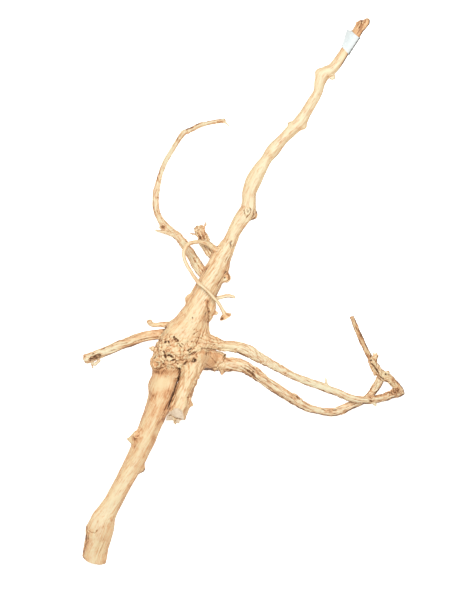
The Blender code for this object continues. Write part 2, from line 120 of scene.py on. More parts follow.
SHORT_ROOT = [
    (-50, -64, 55, 10.5), (-51.5, -76, 57, 10.6), (-55.2, -87, 58.5, 9.8), (-58.8, -98, 60, 9.4),
    (-61.6, -109, 61.5, 9.8), (-65, -119, 63, 9.8), (-69, -129, 64.5, 9.4), (-73, -140, 66, 9.2),
]
LEFT_ROOT = [
    (-71, -43, 46.5, 6.2), (-83, -42.6, 45, 5.3), (-93, -43.5, 43.5, 5.2), (-103, -46, 41.5, 5.2),
    (-113, -49.7, 39, 5.1), (-123, -53.3, 36, 5.1), (-133, -57.4, 33, 5), (-143, -61.2, 30, 5),
    (-153, -65.5, 27, 5), (-159.5, -67.5, 25, 4.6),
]
LEFT_SPUR = [
    (-67, -34, 52, 4.5), (-75, -33, 51.5, 3.6), (-82, -32.7, 51.5, 2.7), (-88, -33, 52.5, 2.4),
    (-92, -31.7, 54, 2.6), (-94.5, -28.8, 56, 3.1),
]
RIGHT_UPPER_ROOT = [
    (-53, -50, 60, 9), (-40, -49, 61, 8.5), (-30, -51, 60, 6.6), (-20, -53.3, 58.5, 5.3),
    (-11, -54, 57, 5.2), (-2, -56, 55, 5.7), (7, -60, 53, 5.5), (17, -65.8, 50, 5), (29, -72.5, 46, 4.4),
    (47, -82.6, 40, 3.8), (62, -88.9, 35, 3.8), (77, -94.3, 30, 4.1), (92, -100, 25.5, 3.9),
    (107, -105.9, 21.5, 3.7), (119, -108.2, 18.5, 3.9), (130, -108, 14.5, 4.1), (141, -105.8, 9.8, 4.2),
    (149, -102.9, 6.6, 4.6), (155.5, -100.9, 5, 4.8), (161, -99, 4.8, 4.4),
]
RIGHT_LOWER_ROOT = [
    (-47, -64, 44, 10), (-37, -66.6, 43, 9.6), (-30, -68.4, 42, 9.6), (-24.5, -69.8, 41, 9.6),
    (-21.2, -72.2, 40.5, 7.2), (-3, -74, 38, 5.9), (7, -78.8, 35.5, 5.8), (17, -85.4, 32.5, 5.1),
    (32, -96.2, 28, 4.7), (47, -106, 23, 4.7), (57, -112.2, 19.5, 4.4), (67, -116.8, 16.5, 4.1),
    (77, -119.3, 13.5, 3.9), (88, -120.6, 11, 4), (98.5, -118.5, 8.7, 4.4), (108.5, -114, 7.3, 4.2),
    (118.6, -110, 7, 3.8), (126, -104.6, 8.5, 3.4), (132.3, -97.3, 11.5, 4.1), (136.7, -90, 15, 4.2),
    (138, -84.4, 18.5, 3.5),
]
RIGHT_HOOK = [
    (154, -101, 6.5, 4), (155.6, -96.6, 8.5, 3.9), (151.4, -91.6, 12, 3.9), (146.6, -87, 16, 4.3),
    (141, -84.4, 20, 4.4), (136.1, -79.8, 24, 4.1), (130.9, -72.5, 29, 3.5), (127.2, -66, 34, 2.9),
    (123, -58.5, 40, 2.7), (118.2, -48, 48, 2.6), (113.4, -37, 57, 2.5), (108.5, -25, 66, 2.4),
]

# Branches and twigs that leave the main stem

CURLED_BRANCH = [
    (-33, 13, 57, 6), (-39.6, 18.6, 52, 5.8), (-45.2, 25.5, 47.5, 5.7), (-49.4, 32.8, 42.5, 5.1),
    (-54, 40, 38, 5), (-58.7, 47.5, 33.5, 4.7), (-65, 55, 28, 4.2), (-72.5, 61.7, 21.5, 3.6),
    (-79.8, 67.8, 16, 3.8), (-84.4, 74.7, 11, 3.4), (-87.4, 82.8, 6.5, 3.2), (-88.3, 92.5, 3.8, 3.2),
    (-87.5, 101.5, 3.3, 3.1), (-85.2, 111.5, 4.6, 2.6), (-82.2, 121.5, 8.5, 2.3), (-77.8, 132, 14, 2.2),
    (-71.7, 141.7, 20.5, 2.3), (-65.5, 151.5, 27.5, 2.2), (-59.7, 159.2, 33.5, 2.6), (-52, 162.7, 39, 2.3),
    (-43, 167, 45.5, 2.4), (-33, 169.4, 52, 2), (-24, 170.6, 57, 2.1), (-18.5, 171.2, 60, 2.3),
]
CURL_SPUR = [
    (-64, 55.5, 29.5, 2.8), (-72, 57.7, 26.5, 2.1), (-80, 60, 24.5, 1.7), (-88.5, 62, 23, 1.2),
]
LOOP_TWIG = [
    (-22, 39, 68, 3.5), (-28.5, 43, 70, 3.4), (-35, 47.4, 74, 2.6), (-42.5, 49.6, 79, 2),
    (-49.5, 49.4, 83, 2.1), (-55.5, 47, 86, 2.2), (-58.7, 41.5, 88, 2), (-59.1, 35, 89, 1.8),
    (-56.8, 28, 89, 1.75), (-52.7, 21, 88.5, 1.7), (-48.3, 14, 87.5, 1.85), (-44, 8.5, 86.5, 1.8),
    (-39, 4.2, 86, 1.5), (-34, -0.6, 85, 1.5), (-29.5, -5.7, 84, 1.5), (-25.2, -10.5, 82.5, 1.5),
    (-21.7, -16.3, 81, 1.6), (-18, -23, 78.8, 2.2),
]
BROKEN_BRANCH = [
    (-24, 34, 58, 6), (-31.4, 40, 53, 6), (-37.3, 47.6, 48.5, 5.6), (-41, 56, 44.5, 5.2),
    (-44, 63, 41, 4.9), (-45, 65.6, 40, 4),
]
SMALL_TWIG = [
    (-33, -7.5, 57.5, 2.3), (-24, -5.6, 55.5, 1.8), (-17, -4, 55, 1.9), (-12, -4.2, 55.5, 1.7),
    (-8, -5.6, 56.5, 1.2),
]

# Knots, burls and stubs, each (x, y, z, radius) in millimetres and fused to what it grows on

CROWN_LUMPS = [
    (-85.8, -70.4, 57, 7.6), (-79, -66, 62, 8.2), (-79.4, -54, 57, 7.2), (-75, -56, 66, 9.5),
    (-66, -68, 61, 9.5), (-62, -60, 68, 9), (-90.6, -56.6, 59, 2), (-48, -60, 58, 11.5), (-66, -40, 62, 12),
    (-58, -52, 42, 15), (-74, -60, 44, 11), (-44, -38, 60, 9),
]
STEM_LUMPS = [
    (-17.5, 14, 63, 5), (-53, -6.5, 63, 4.4), (-34.6, -17.5, 62.5, 6.2), (-33, -12, 61.5, 5.6),
    (-36.4, -24, 60, 5.4), (9.5, 76.8, 73, 4.6), (5, 80, 78.5, 4.2), (60, 164.8, 94, 2.8),
    (47.6, 166.2, 93, 2.7), (75.5, 217.5, 105.5, 4.4), (88.5, 213.5, 106, 2.4), (122, 267.2, 120.5, 3.3),
]
ROOT_LUMPS = [
    (-111.5, -147.5, 40, 3.6), (-107, -144, 44, 4.2), (-102.6, -176.6, 33, 4.1), (-150.5, -238, 21, 7.5),
]
SHORT_ROOT_LUMPS = [(-52.5, -112, 62, 2.8)]

# The flat scar that ends the loop twig: a cup that flares from its neck to its rim

LOOP_PAD = {
    "centre": (-18.2, -23.8, 78.4),
    "axis": (0.47, -0.83, -0.3),
    "neck_radius": 3.6,
    "radius": 7.3,
    "thickness": 3.8,
}

# The paper tag: the places (x, y) of its lower and upper edge on the stem, and by how much the flap's side
# of each edge lies further along the stem

TAG_STATIONS = ((99.2, 238.1), (110.4, 254.9))
TAG_SLANT = (4.5, 2.2)
TAG_CLEARANCE = 0.35
TAG_SLACK = 0.25
TAG_CREASE = 0.16  # how far its creases stand in and out
TAG_LOOSE = 0.25  # how far its two edges stand off
TAG_THICKNESS = 0.5
TAG_FLAP = 7.0
TAG_FLAP_ANGLE = math.radians(142)
TAG_FLAP_HALF = math.radians(5.7)
TAG_FLAP_ROOT = TAG_FLAP_HALF + math.radians(3)  # half the angle over which the flap rises
TAG_RINGS = 30
TAG_SIDES = 72
# the way that the tag's side faces where it gets painted shade
TAG_SHADED_SIDE = Vector((0.84, -0.54, 0))

# Saw cuts: a point in the cut and the way that the sawn face looks

MAIN_ROOT_CUT = ((-146, -275.6, 23.5), (-0.295, -0.874, -0.384))
SHORT_ROOT_CUT = ((-68.8, -116.7, 72.5), (-0.2, -0.6, 0.77))
SHORT_ROOT_BREAK = ((-69, -128.2, 60), (0.02, -1, 0))
CUTS = {"trunk": (MAIN_ROOT_CUT,), "short_root": (SHORT_ROOT_CUT, SHORT_ROOT_BREAK)}
SAW_REACH = 0.8  # how far from the cut the skin still counts as sawn

# Where each root's own piece begins, as a station: the crown's collar reaches up to there

FORK = {"short_root": 2, "left_root": 1, "left_spur": 1, "right_upper_root": 3, "right_lower_root": 3}

# Limbs in the order in which they are joined: stations, seed of the flutes, how soft the fork is and how
# far along the limb that softness lasts, then how gnarled, how pale and how warm in colour the limb is

LIMBS = {
    "trunk": (MAIN_ROOT + CROWN_CORE + MAIN_STEM, 0.6, 0, 1, 1, 0, 0),
    "left_root": (LEFT_ROOT, 1.1, 6, 16, 1.3, 0.05, -0.3),
    "left_spur": (LEFT_SPUR, 3.0, 4, 10, 1.0, -0.12, 0.1),
    "right_lower_root": (RIGHT_LOWER_ROOT, 5.3, 6, 22, 1.6, -0.2, -0.15),
    "short_root": (SHORT_ROOT, 2.0, 9, 16, 1.35, 0.15, 0.3),
    "right_upper_root": (RIGHT_UPPER_ROOT, 4.2, 7, 26, 1.3, 0.22, -0.2),
    "right_hook": (RIGHT_HOOK, 0.4, 3, 8, 1.8, -0.1, 0.35),
    "curled_branch": (CURLED_BRANCH, 1.7, 5, 12, 1.25, 0.15, -0.15),
    "curl_spur": (CURL_SPUR, 2.9, 3, 8, 1.2, 0.0, -0.1),
    "loop_twig": (LOOP_TWIG, 3.3, 3.5, 9, 0.6, 0.25, 0.3),
    "broken_branch": (BROKEN_BRANCH, 5.9, 5, 10, 2.0, -0.1, 0.0),
    "small_twig": (SMALL_TWIG, 4.8, 2.5, 7, 0.7, 0.3, 0),
}

# The same three looks along the trunk: how far down the plan, how gnarled, how pale, how warm

TRUNK_LOOKS = [
    (15, 1.0, -1.3, 1.0), (40, 0.9, -0.7, 0.7), (54, 0.7, 0.1, 0.3), (64, 0.6, 0.4, 0), (90, 0.6, 0.4, 0),
    (200, 0.6, 0.4, 0.1), (240, 0.8, 0.3, 0.2), (300, 0.95, 0.15, 0.3), (345, 1.0, 0.0, 0.45),
    (372, 0.6, -0.15, 0.9), (392, 0.55, 0, 0.8), (425, 0.5, 0.05, 0.7), (460, 0.5, 0.25, 0.5),
    (520, 0.5, 0.3, 0.4), (590, 0.6, 0.3, 0.5),
]

# Short stubs and splinters: the limb they grow on, their root and tip on the plan, the radius at both, and
# how much higher the tip lies

STUBS = [
    ("trunk", (155, 352), (149.6, 348), 2.0, 0.9, 1),
    ("trunk", (133.4, 441.6), (127.8, 438.8), 2.0, 1.1, 1),
    ("right_upper_root", (326.5, 384), (325.6, 378.6), 1.3, 0.8, 1),
    ("right_hook", (374, 362.5), (375.8, 356), 2.6, 2.1, 3),
    ("right_hook", (375.4, 357), (373.4, 353.6), 1.4, 0.9, 1),
    ("right_hook", (376, 356.5), (378, 352.8), 1.7, 1.3, 1),
    ("right_hook", (385.8, 376.5), (387.6, 373), 2.8, 2.0, 2),
    ("right_lower_root", (223.5, 368), (221.8, 373.6), 4.4, 1.4, 0),
    ("right_lower_root", (294, 396.5), (300.5, 400.2), 3.2, 2.2, 0),
    ("broken_branch", (203.5, 229), (207.4, 220.3), 1.2, 0.8, 4),
    ("broken_branch", (197.5, 235), (190.5, 233.4), 1.1, 0.7, 1),
    ("broken_branch", (198.5, 229.5), (196.6, 226.4), 2.0, 0.9, 0),
    ("left_root", (92.2, 362), (92.6, 367.6), 1.0, 0.7, -3),
    ("short_root", (175, 419), (175.6, 424), 1.9, 0.9, -3),
    ("curled_branch", (166.5, 229), (160.5, 222.5), 1.5, 0.8, 3),
    ("curled_branch", (224.2, 121.3), (230.6, 127.6), 1.0, 0.7, -3),
    ("right_upper_root", (286, 371), (286.4, 373.6), 2.2, 1.4, 2),
    ("trunk", (189.4, 303), (187.4, 299), 3.4, 2.6, 0),
    ("trunk", (359, 29), (357.4, 23.4), 2.4, 1.8, 0),
    ("trunk", (363, 27), (367.0, 20.8), 3.2, 2.9, 0),
    ("trunk", (212, 312), (216.2, 313.2), 2.6, 1.2, 0),
    ("trunk", (293, 127.6), (288.9, 122.9), 2.2, 1.2, 0),
    ("right_hook", (369.6, 361), (374.8, 374.8), 1.7, 1.4, -7),
    ("right_upper_root", (373, 401.4), (375.6, 405.4), 1.6, 0.8, 0),
    ("curled_branch", (168, 231.5), (160.5, 227.5), 2.4, 1.6, 2),
    ("short_root", (178.5, 417), (178.6, 422), 2.8, 1.5, -2),
    ("left_root", (99, 361), (95, 364.2), 1.4, 0.9, -1),
    ("left_root", (95.5, 364), (92.2, 364.4), 0.9, 0.8, -2),
]

# Holes worked in from above: the place on the plan, half the width and height there, and the depth

HOLES = [
    (193.8, 360.5, 1.6, 1.7, 4), (178.8, 368.8, 1.6, 1.3, 3.5), (159.5, 339.3, 0.7, 1.1, 2.4),
    (165.1, 341.9, 0.7, 1.0, 2.2), (168.4, 341.9, 0.6, 1.0, 2.2), (172.3, 360.1, 0.7, 0.6, 1.6),
    (189.7, 352.2, 0.8, 0.5, 1.5), (205.4, 313.8, 0.6, 1.2, 1.4), (192.5, 317.6, 0.6, 1.0, 0.8),
    (385.9, 374.3, 1.2, 1.0, 3), (371.5, 356, 0.9, 0.9, 1.2), (371.1, 360.6, 1.1, 1.0, 1.5),
    (376.2, 376.4, 1.0, 0.8, 1.4), (164.6, 355.8, 1.2, 1.0, 1.6), (92.5, 353.6, 1.2, 0.7, 1.0),
    (153.4, 362.5, 0.6, 0.7, 0.8), (177.9, 364, 0.7, 0.6, 0.8), (225, 277.9, 0.9, 0.8, 0.5),
    (227.8, 280.4, 0.9, 0.7, 0.8), (238, 378, 2.2, 1.4, 1.4),
]

# Cracks, slits and creases worked in from above: points on the plan, width, depth, and painted shade inside

CREASES = [
    ([(174.6, 336), (174, 337.4), (175.8, 338.9), (177.2, 339.9), (178.6, 340.8)], 1.35, 3.5, 1),
    ([(176.4, 344.6), (177.6, 343.3), (179.3, 343.6), (180.2, 345.6), (182.3, 347.6)], 1.3, 2.2, 0.75),
    ([(181.4, 342.9), (183.9, 345.2)], 1.1, 1.8, 0.65),
    ([(187, 350.8), (189.4, 349.3), (192, 348.4)], 1.5, 3.2, 1),
    ([(163.7, 350.2), (164.5, 352.9), (164.5, 355.6), (166.6, 358.1)], 1.35, 3.2, 0.85),
    ([(168, 356.2), (168.6, 354.5), (169.9, 354.5), (171.4, 356.5), (173.6, 357.4)], 1.5, 4, 1),
    ([(154.2, 358.8), (155.6, 356.8), (157.2, 354.9)], 1.35, 3, 0.9),
    ([(184.3, 364.6), (186, 361.9)], 1.2, 2.6, 0.95),
    ([(164.5, 360.2), (164.3, 362.6), (163.6, 364.9)], 1.2, 1.4, 0.5),
    ([(176.7, 368.3), (179.8, 369.8), (179.4, 373.6)], 1.6, 2.6, 0.7),
    ([(206.5, 352.4), (206.5, 355.4)], 1.2, 2.4, 0.9),
    ([(189.8, 354.6), (193.6, 353), (197.4, 350.6), (200, 349.1)], 1.5, 1.8, 0.7),
    ([(199, 349.3), (203, 348.2), (208.9, 348.5), (215.8, 349.7), (223.6, 351)], 1.6, 1.6, 0.55),
    ([(192.8, 334.8), (195.6, 333.2), (198.6, 330.9)], 1.3, 1.0, 0.5),
    ([(192.9, 329.8), (196, 329.6), (198.6, 330.4)], 1.1, 0.7, 0.35),
    ([(206.6, 304.4), (208.4, 309), (209.2, 313), (208.7, 318.7), (207.8, 325.6)], 1.8, 1.8, 0.6),
    ([(211.2, 344.5), (213.4, 344.2), (215.4, 344.8)], 1.1, 0.8, 0.4),
    ([(191, 341), (191.8, 342.4), (193.2, 341)], 1.1, 0.7, 0.35),
    (
        [(179.8, 370), (179.6, 375), (177.6, 382), (174.6, 391.5), (171.2, 400.5), (167.4, 409.5)],
        1.7, 4.5, 1.0,
    ),
    (
        [(152.6, 368.8), (157, 369.4), (161, 368.4), (166, 366.6), (171, 365.4), (176.4, 366.8)],
        1.4, 1.0, 0.3,
    ),
    ([(141.8, 473.2), (139, 476.6)], 1.2, 0.9, 0.5),
    ([(87, 529.6), (90.6, 533), (94.4, 533.8), (98.4, 529.2)], 1.0, 0.7, 0.4),
    ([(86.6, 531), (87.6, 537), (88.4, 543)], 1.2, 0.6, 0.4),
    ([(167.6, 416.4), (171, 414.8), (175, 417.6), (183, 419.6)], 1.1, 1.2, 0.8),
    ([(170, 411.4), (173, 408.8), (178, 408.6), (181.6, 411.6), (182, 415)], 0.9, 0.5, 0.5),
    ([(88.8, 360.8), (93, 358.8), (97, 356.8), (100.4, 354.8)], 4.8, 3.0, 1.0),
    ([(99.2, 350), (106.8, 346.4), (114.8, 343.3)], 1.3, 0.8, 0.35),
    ([(109, 351.6), (112.4, 350.8), (115.7, 349.6)], 1.4, 0.8, 0.45),
    ([(119.7, 344.4), (128.2, 342.6)], 1.3, 0.8, 0.4),
    ([(131.3, 343), (140, 340.4), (149, 338.4)], 1.3, 0.8, 0.35),
    ([(223.7, 274.9), (225.1, 273.2), (227.2, 271.4)], 1.4, 0.8, 0.7),
    ([(227.9, 273.5), (228.8, 275), (229.9, 277.6)], 1.3, 0.8, 0.85),
    ([(223.6, 276), (220.2, 281.9), (217.4, 287.4)], 1.3, 0.8, 0.3),
    ([(228.3, 256), (226.5, 259.1), (225.1, 263.7)], 1.1, 0.6, 0.3),
    ([(232.4, 240.8), (230.2, 243.4), (231, 245.8), (230.4, 248)], 1.6, 0.9, 0.8),
    ([(233.9, 245.2), (232.8, 247.9)], 1.3, 0.8, 0.7),
    ([(242.9, 209.6), (244.3, 212.1), (244.8, 215.4)], 1.3, 0.9, 0.75),
    (
        [(249, 207), (250.8, 209.3), (251.2, 212.3), (249.5, 214.9), (247.2, 216.8), (246.2, 219.2)],
        1.3, 0.9, 0.7,
    ),
    ([(246.6, 209.2), (247.1, 210.8), (247.5, 212.8), (248.7, 211.1), (249.7, 209.3)], 1.1, 0.6, 0.6),
    ([(254.3, 209.3), (253.7, 212.3), (254.2, 215.2), (252.8, 217.4), (251.4, 219.8)], 1.4, 1.0, 0.7),
    ([(240.6, 366), (246, 369.4), (252, 374), (259, 380)], 1.8, 1.2, 0.6),
    ([(244, 364.6), (250, 368), (256, 373.4)], 1.3, 0.9, 0.4),
    ([(290, 393.4), (296, 396.4), (301, 400)], 1.3, 1.0, 0.5),
    ([(322, 409.2), (326, 410.8)], 1.3, 0.8, 0.6),
    ([(333, 410.4), (338, 410)], 1.3, 0.8, 0.6),
    ([(256, 362.6), (259, 363.6), (262, 362.8)], 1.0, 0.8, 0.5),
    ([(369.6, 401), (372.4, 402), (374.4, 403.6)], 1.3, 1.2, 0.7),
    ([(370.4, 397.8), (373.6, 398.6)], 1.0, 0.8, 0.4),
    ([(370.6, 362.9), (373.8, 365.6), (377.2, 370.3), (379.2, 373.7), (379.5, 376.2)], 1.5, 1.8, 0.9),
    ([(379.5, 376.4), (384.3, 380.2)], 1.3, 1.3, 0.7),
    ([(387.9, 374.5), (392.4, 377)], 1.2, 0.8, 0.45),
    ([(393.9, 381), (396.4, 385.5)], 1.2, 0.8, 0.45),
    ([(391.8, 389.8), (392.4, 393.4), (394.6, 396)], 1.4, 1.0, 0.7),
    ([(395.4, 389.4), (398.4, 391.4), (400.6, 395)], 1.3, 1.0, 0.6),
    ([(394.8, 392.4), (396.8, 393.6)], 1.2, 0.9, 0.6),
    ([(376, 381), (373.4, 387), (370.6, 390.6)], 1.2, 0.8, 0.4),
    ([(377.6, 385), (375, 390)], 1.2, 0.8, 0.45),
    ([(192.6, 249.4), (196.4, 255), (200.4, 261), (203.4, 266)], 1.4, 1.3, 0.75),
    ([(191.7, 255.3), (195.4, 261.4), (198.9, 267), (199.4, 272)], 1.2, 1.0, 0.5),
    ([(196, 231), (198.6, 236), (201.4, 240.4)], 1.3, 1.1, 0.5),
    ([(199.4, 229), (202.4, 235), (205.6, 240.4)], 1.0, 0.9, 0.4),
    ([(193, 337), (200, 337.6), (207, 339.6), (216, 342.2), (226, 343)], 1.3, 0.8, 0.12),
    ([(196, 342), (204, 343.4), (213, 345.2), (224, 346.2)], 1.2, 0.7, 0.12),
    ([(203, 334), (209, 336.6), (216, 339.4)], 1.1, 0.7, 0.12),
    ([(360.6, 20), (360.2, 26), (357, 32.4)], 1.5, 1.4, 0.4),
    ([(364.4, 19.6), (363.4, 25), (359.6, 33)], 1.0, 0.8, 0.35),
    ([(209.5, 355), (214, 360), (219, 366.4)], 1.2, 0.7, 0.2),
    ([(204, 362), (209, 366), (214, 370)], 1.2, 0.7, 0.2),
]

# Thin raised lines, painted paler as a highlight: points on the plan and the width

RIDGES = [
    ([(172.2, 325), (168.6, 327.8), (163.2, 332.4), (158.6, 338)], 1.7),
    ([(177.3, 366.2), (180.2, 366.5), (182.5, 369.3)], 1.8),
    ([(167.4, 354.6), (168.8, 352.9), (171, 353.4), (174.8, 356.2)], 1.5),
    ([(187.4, 353.2), (189.2, 354), (191.6, 352), (192.4, 350.6)], 1.2),
    ([(153.4, 357.4), (154.8, 355)], 1.4),
    ([(89.4, 357.4), (93.5, 355.2), (97.4, 353.6)], 1.3),
    ([(204.6, 350.4), (212, 351.8), (220.6, 352.2)], 1.4),
]

# Calmer places between the knots and flutes: the place, half the width and height, and the share of the
# relief that stays

CALM = [
    (164, 380, 16, 13, 0.45), (156.6, 364.6, 6.6, 6.4, 0.2), (173, 351, 5.4, 4.4, 0.55),
    (212, 360, 12, 10, 0.35), (188, 312, 13, 14, 0.75),
]

# Knots seen from above: the place, half the width and height, the turn of their long side in degrees, and
# how far their rim stands up round a dent

KNOTS = [
    (156.6, 364.2, 4.6, 4.2, 0, 1.5), (163.6, 364.2, 2.2, 3.2, 0, 0.7), (168.8, 350.2, 3.4, 2.8, 0, 1.2),
    (191.8, 342, 2.0, 2.2, 0, 0.5), (189.7, 352.2, 2.4, 1.5, 25, 0.6), (247.6, 212, 3.6, 4.8, 0, 0.35),
    (157.3, 197.4, 1.8, 2.2, 0, 0.4), (286, 373.2, 2.8, 2.0, 0, 0.5), (331.6, 78.4, 3.2, 3.2, 0, 0.5),
    (289, 123.2, 2.2, 2.2, 0, 0.4), (176, 378.6, 1.5, 2.6, 0, 0.5), (395.2, 392, 3.6, 3.2, 0, 0.9),
    (181.7, 354.4, 1.5, 1.5, 0, 0.6), (185.3, 347.2, 1.2, 1.2, 0, 0.6), (164.4, 412.4, 1.6, 2.4, 0, 0.5),
    (191.8, 404.6, 2.0, 1.8, 0, 0.5), (137.5, 434, 4.4, 5.4, 0, 0.5),
]

# Extra wood that fills out a fork or a swelling: a rounded form's place and radius

SWELLINGS = [
    (-84.6, -93.5, 46, 9.4), (-66, -80, 52, 7.5), (-60, -79, 55, 7), (-43, -68, 52, 8.5),
    (-36, -66, 47.5, 9.5),
]

# What fills out the trunk, and how softly each kind joins it

TRUNK_LUMPS = ((CROWN_LUMPS, 4.5), (STEM_LUMPS, 3), (ROOT_LUMPS, 4), (SWELLINGS, 5))

# Patches of stain, bleaching, painted shade and painted highlight: the place on the plan, half the width and
# height, and the strength, which is above 0 where it darkens (brown stains, and painted shade under
# overhangs) and below 0 where it lightens (bleached wood, and painted highlights on lips and knuckles)

PATCHES = [
    (134.8, 443, 3.4, 5.4, 0.7), (111, 520, 1.3, 3.2, 0.7), (91, 532.6, 4.5, 3.4, 0.35),
    (86.4, 537.5, 2.0, 8, 0.6), (140, 475, 3.4, 2.4, 0.6), (270, 155, 2.4, 5, 0.45),
    (163.6, 419, 2.2, 6, 0.9), (207.2, 301.6, 2.6, 3.6, 1.0), (207.4, 315, 2.0, 10, 0.4),
    (202.6, 331, 3, 2, 0.5), (207, 352.4, 8, 3, 0.5), (216, 361, 9, 8, 0.15), (170, 403, 7, 14, 0.52),
    (172, 398, 5, 12, 0.4), (153, 399, 5, 5, 0.52), (160, 411, 10, 8, 0.4), (94, 357.6, 5, 2, 1.0),
    (250, 373, 10, 5, 0.65), (296, 397, 7, 3, 0.5), (330, 410, 9, 4, 0.5), (372, 401, 4, 3, 0.6),
    (396, 391.6, 6, 5.4, 0.9), (385, 395.6, 9, 4.4, 0.9), (369, 388, 4.2, 9, 1.2),
    (377.6, 386, 2.4, 7, -0.5), (385, 372.6, 3.6, 3, -0.6), (377, 364, 4, 4, -0.2), (360, 338, 5, 20, 0.35),
    (227.8, 276.8, 3, 4.6, 1.3), (168, 152, 9, 20, -0.8), (160.6, 327, 3, 3, 0.5),
    (123.4, 345.6, 5.5, 2.6, 0.15), (102, 348.4, 4, 2, 0.35), (108, 348.6, 5, 1.6, -0.5),
    (116, 346, 3, 2, -0.4), (102.3, 352.2, 2.6, 1.2, -0.6), (84.4, 357.6, 1.0, 3, 0.9),
    (221.4, 318.8, 2.8, 2, 2.0), (226, 315.6, 6, 3.4, 0.6), (216.6, 252.4, 2.4, 4.6, 0.35),
    (165, 354, 4, 5, 0.3), (180, 345, 5, 4, 0.3), (165, 372, 15, 5, 0.55), (158, 371, 12, 3.6, 0.5),
    (162, 394, 12, 4.6, 0.35), (201, 234, 5, 7, 0.6), (207.4, 250.4, 3.4, 3, 0.5), (191, 252, 8, 10, 0.3),
    (203, 266, 6, 8, 0.7), (137, 438, 5, 4, 0.7), (158.6, 176.6, 2.8, 5.4, 0.85), (156.4, 187, 2, 6, 0.5),
    (156.4, 197, 1.6, 1.6, 0.7), (220.6, 121.8, 4.6, 1.5, 1.0), (190.4, 127.4, 3.4, 1.4, 0.7),
    (163, 227.4, 3.4, 3.4, 0.8), (258, 362, 4, 1.6, 0.6), (286, 372.6, 2.4, 1.8, 0.9),
    (162, 383, 11, 5.4, -0.9), (182, 398, 5, 16, -0.3), (178, 333.5, 8, 7, -0.5), (172, 347, 6, 4.4, -0.5),
    (176.4, 352.6, 3.6, 2.6, -0.6), (181.4, 367, 2.2, 2, -0.9), (190, 312, 10, 12, -0.2),
    (232, 352, 16, 8, -0.2), (322, 386, 26, 8, -0.35), (108, 500, 8, 22, -0.3),
]

# Painted shade in thin dark lines along a limb's side: points on the plan, width and strength

PAINTED_SIDE_SHADE = [
    ([(336.5, 74.6), (343.4, 64), (350.2, 52.4)], 1.5, 1.3),
    ([(361, 36.5), (364.6, 29.5), (368.7, 24.9), (370.4, 20.8)], 1.9, 1.3),
    ([(353.7, 316), (358.4, 327.4), (363.1, 337.5), (366.4, 344.9), (370.6, 355.6)], 1.4, 1.0),
    ([(349.7, 318), (355.7, 330.8), (360.4, 342.8), (367.8, 359.6)], 1.2, 0.5),
    ([(378.6, 356), (377.4, 361), (384.2, 370.3)], 1.3, 0.8),
    ([(389.2, 370.3), (395.9, 377.7), (400.6, 385.1), (405, 392.6), (402, 396.8)], 1.6, 1.1),
    ([(402, 396.8), (391.9, 398.9), (384.5, 402.7), (375.8, 404), (364, 404)], 1.5, 0.9),
    ([(384.5, 381.7), (375.8, 395.8)], 1.3, 0.8),
    ([(384.5, 380.4), (390.6, 382.4), (393.9, 387.7)], 1.2, 0.6),
    ([(345, 412.7), (352.4, 408.9), (364.4, 405.6)], 1.4, 0.7),
    ([(224.4, 371.8), (240, 371.4), (250, 377.6), (265, 387.4), (281.6, 397), (303, 409.4)], 1.6, 0.8),
    ([(303, 409.4), (317, 414.2), (336, 415.6), (345, 412.7)], 1.4, 0.6),
    (
        [(224.4, 350.8), (240, 352.8), (254, 361.5), (270.7, 368.4),
         (298, 383.2), (330, 393.4), (352, 402.6)],
        1.4, 0.6,
    ),
    ([(205.5, 368.9), (213, 369.4), (221.6, 373.4)], 1.5, 0.9),
    ([(105, 357), (120.2, 350.6), (133.6, 345.3), (156, 339.4)], 1.4, 0.6),
    ([(166.4, 327), (162.4, 331), (158, 337)], 1.2, 0.6),
    ([(179.6, 378), (177, 386), (173.6, 396), (169, 408)], 2.2, 0.25),
    ([(183.7, 130), (192.8, 126.2), (203.6, 120.8), (223.5, 118.4)], 1.2, 0.6),
    ([(180, 134), (170, 152), (160, 168), (156.4, 180), (153.2, 197), (153.2, 208)], 1.2, 0.5),
    ([(154, 229.6), (163, 233), (174, 238.6)], 1.2, 0.7),
    ([(182.6, 253), (184.6, 260.6), (190, 270.4), (196, 279.4)], 1.0, 0.6),
    ([(208, 230), (213, 240), (217, 246)], 1.4, 0.6),
    ([(219, 298.4), (224, 297.2), (232, 298)], 1.0, 0.9),
    ([(250.6, 221.4), (254.6, 218.6), (256.8, 212)], 1.4, 0.8),
    ([(173, 442), (165, 456), (154, 476)], 1.4, 0.5),
    ([(144.6, 470), (141.6, 473.8), (138, 476.4)], 1.4, 1.0),
    ([(86.6, 528), (85, 545), (82, 558), (90, 567)], 1.4, 0.5),
]


def on_plan(across, down, height=PLAN_HEIGHT):
    """A place on the plan in the part's own frame, for wood at this height."""
    nearer = (height - PLAN_HEIGHT) / CAMERA_ABOVE
    x, y = across + PLAN_CORNER[0], PLAN_CORNER[1] - down
    return x + (PLAN_MIDDLE[0] - x) * nearer, y + (PLAN_MIDDLE[1] - y) * nearer


# Noise and soft joins

SCATTER = [np.uint64(number) for number in (73856093, 19349663, 83492791)]  # large odd numbers
SEED_STEP = 2654435761
MIXERS = [(np.uint64(15), np.uint64(2246822519)), (np.uint64(13), np.uint64(3266489917))]
LAST_SHIFT = np.uint64(16)
WORD = np.uint64(0xFFFFFFFF)  # keeps the lowest 32 bits
HALF_WORD = 2147483648.0


def lattice_value(at, seed):
    """A number from -1 to 1 that belongs to a point of a lattice."""
    x, y, z = at.T
    mixed = x * SCATTER[0] ^ y * SCATTER[1] ^ z * SCATTER[2]
    mixed = (mixed ^ np.uint64(seed * SEED_STEP)) & WORD
    for shift, mixer in MIXERS:
        mixed = (mixed ^ mixed >> shift) * mixer & WORD
    return (mixed ^ mixed >> LAST_SHIFT) / HALF_WORD - 1.0


def corner_share(share, corner):
    """How much a corner of a cell counts at places inside the cell."""
    x, y, z = np.abs(1 - np.array(corner) - share).T
    return x * y * z


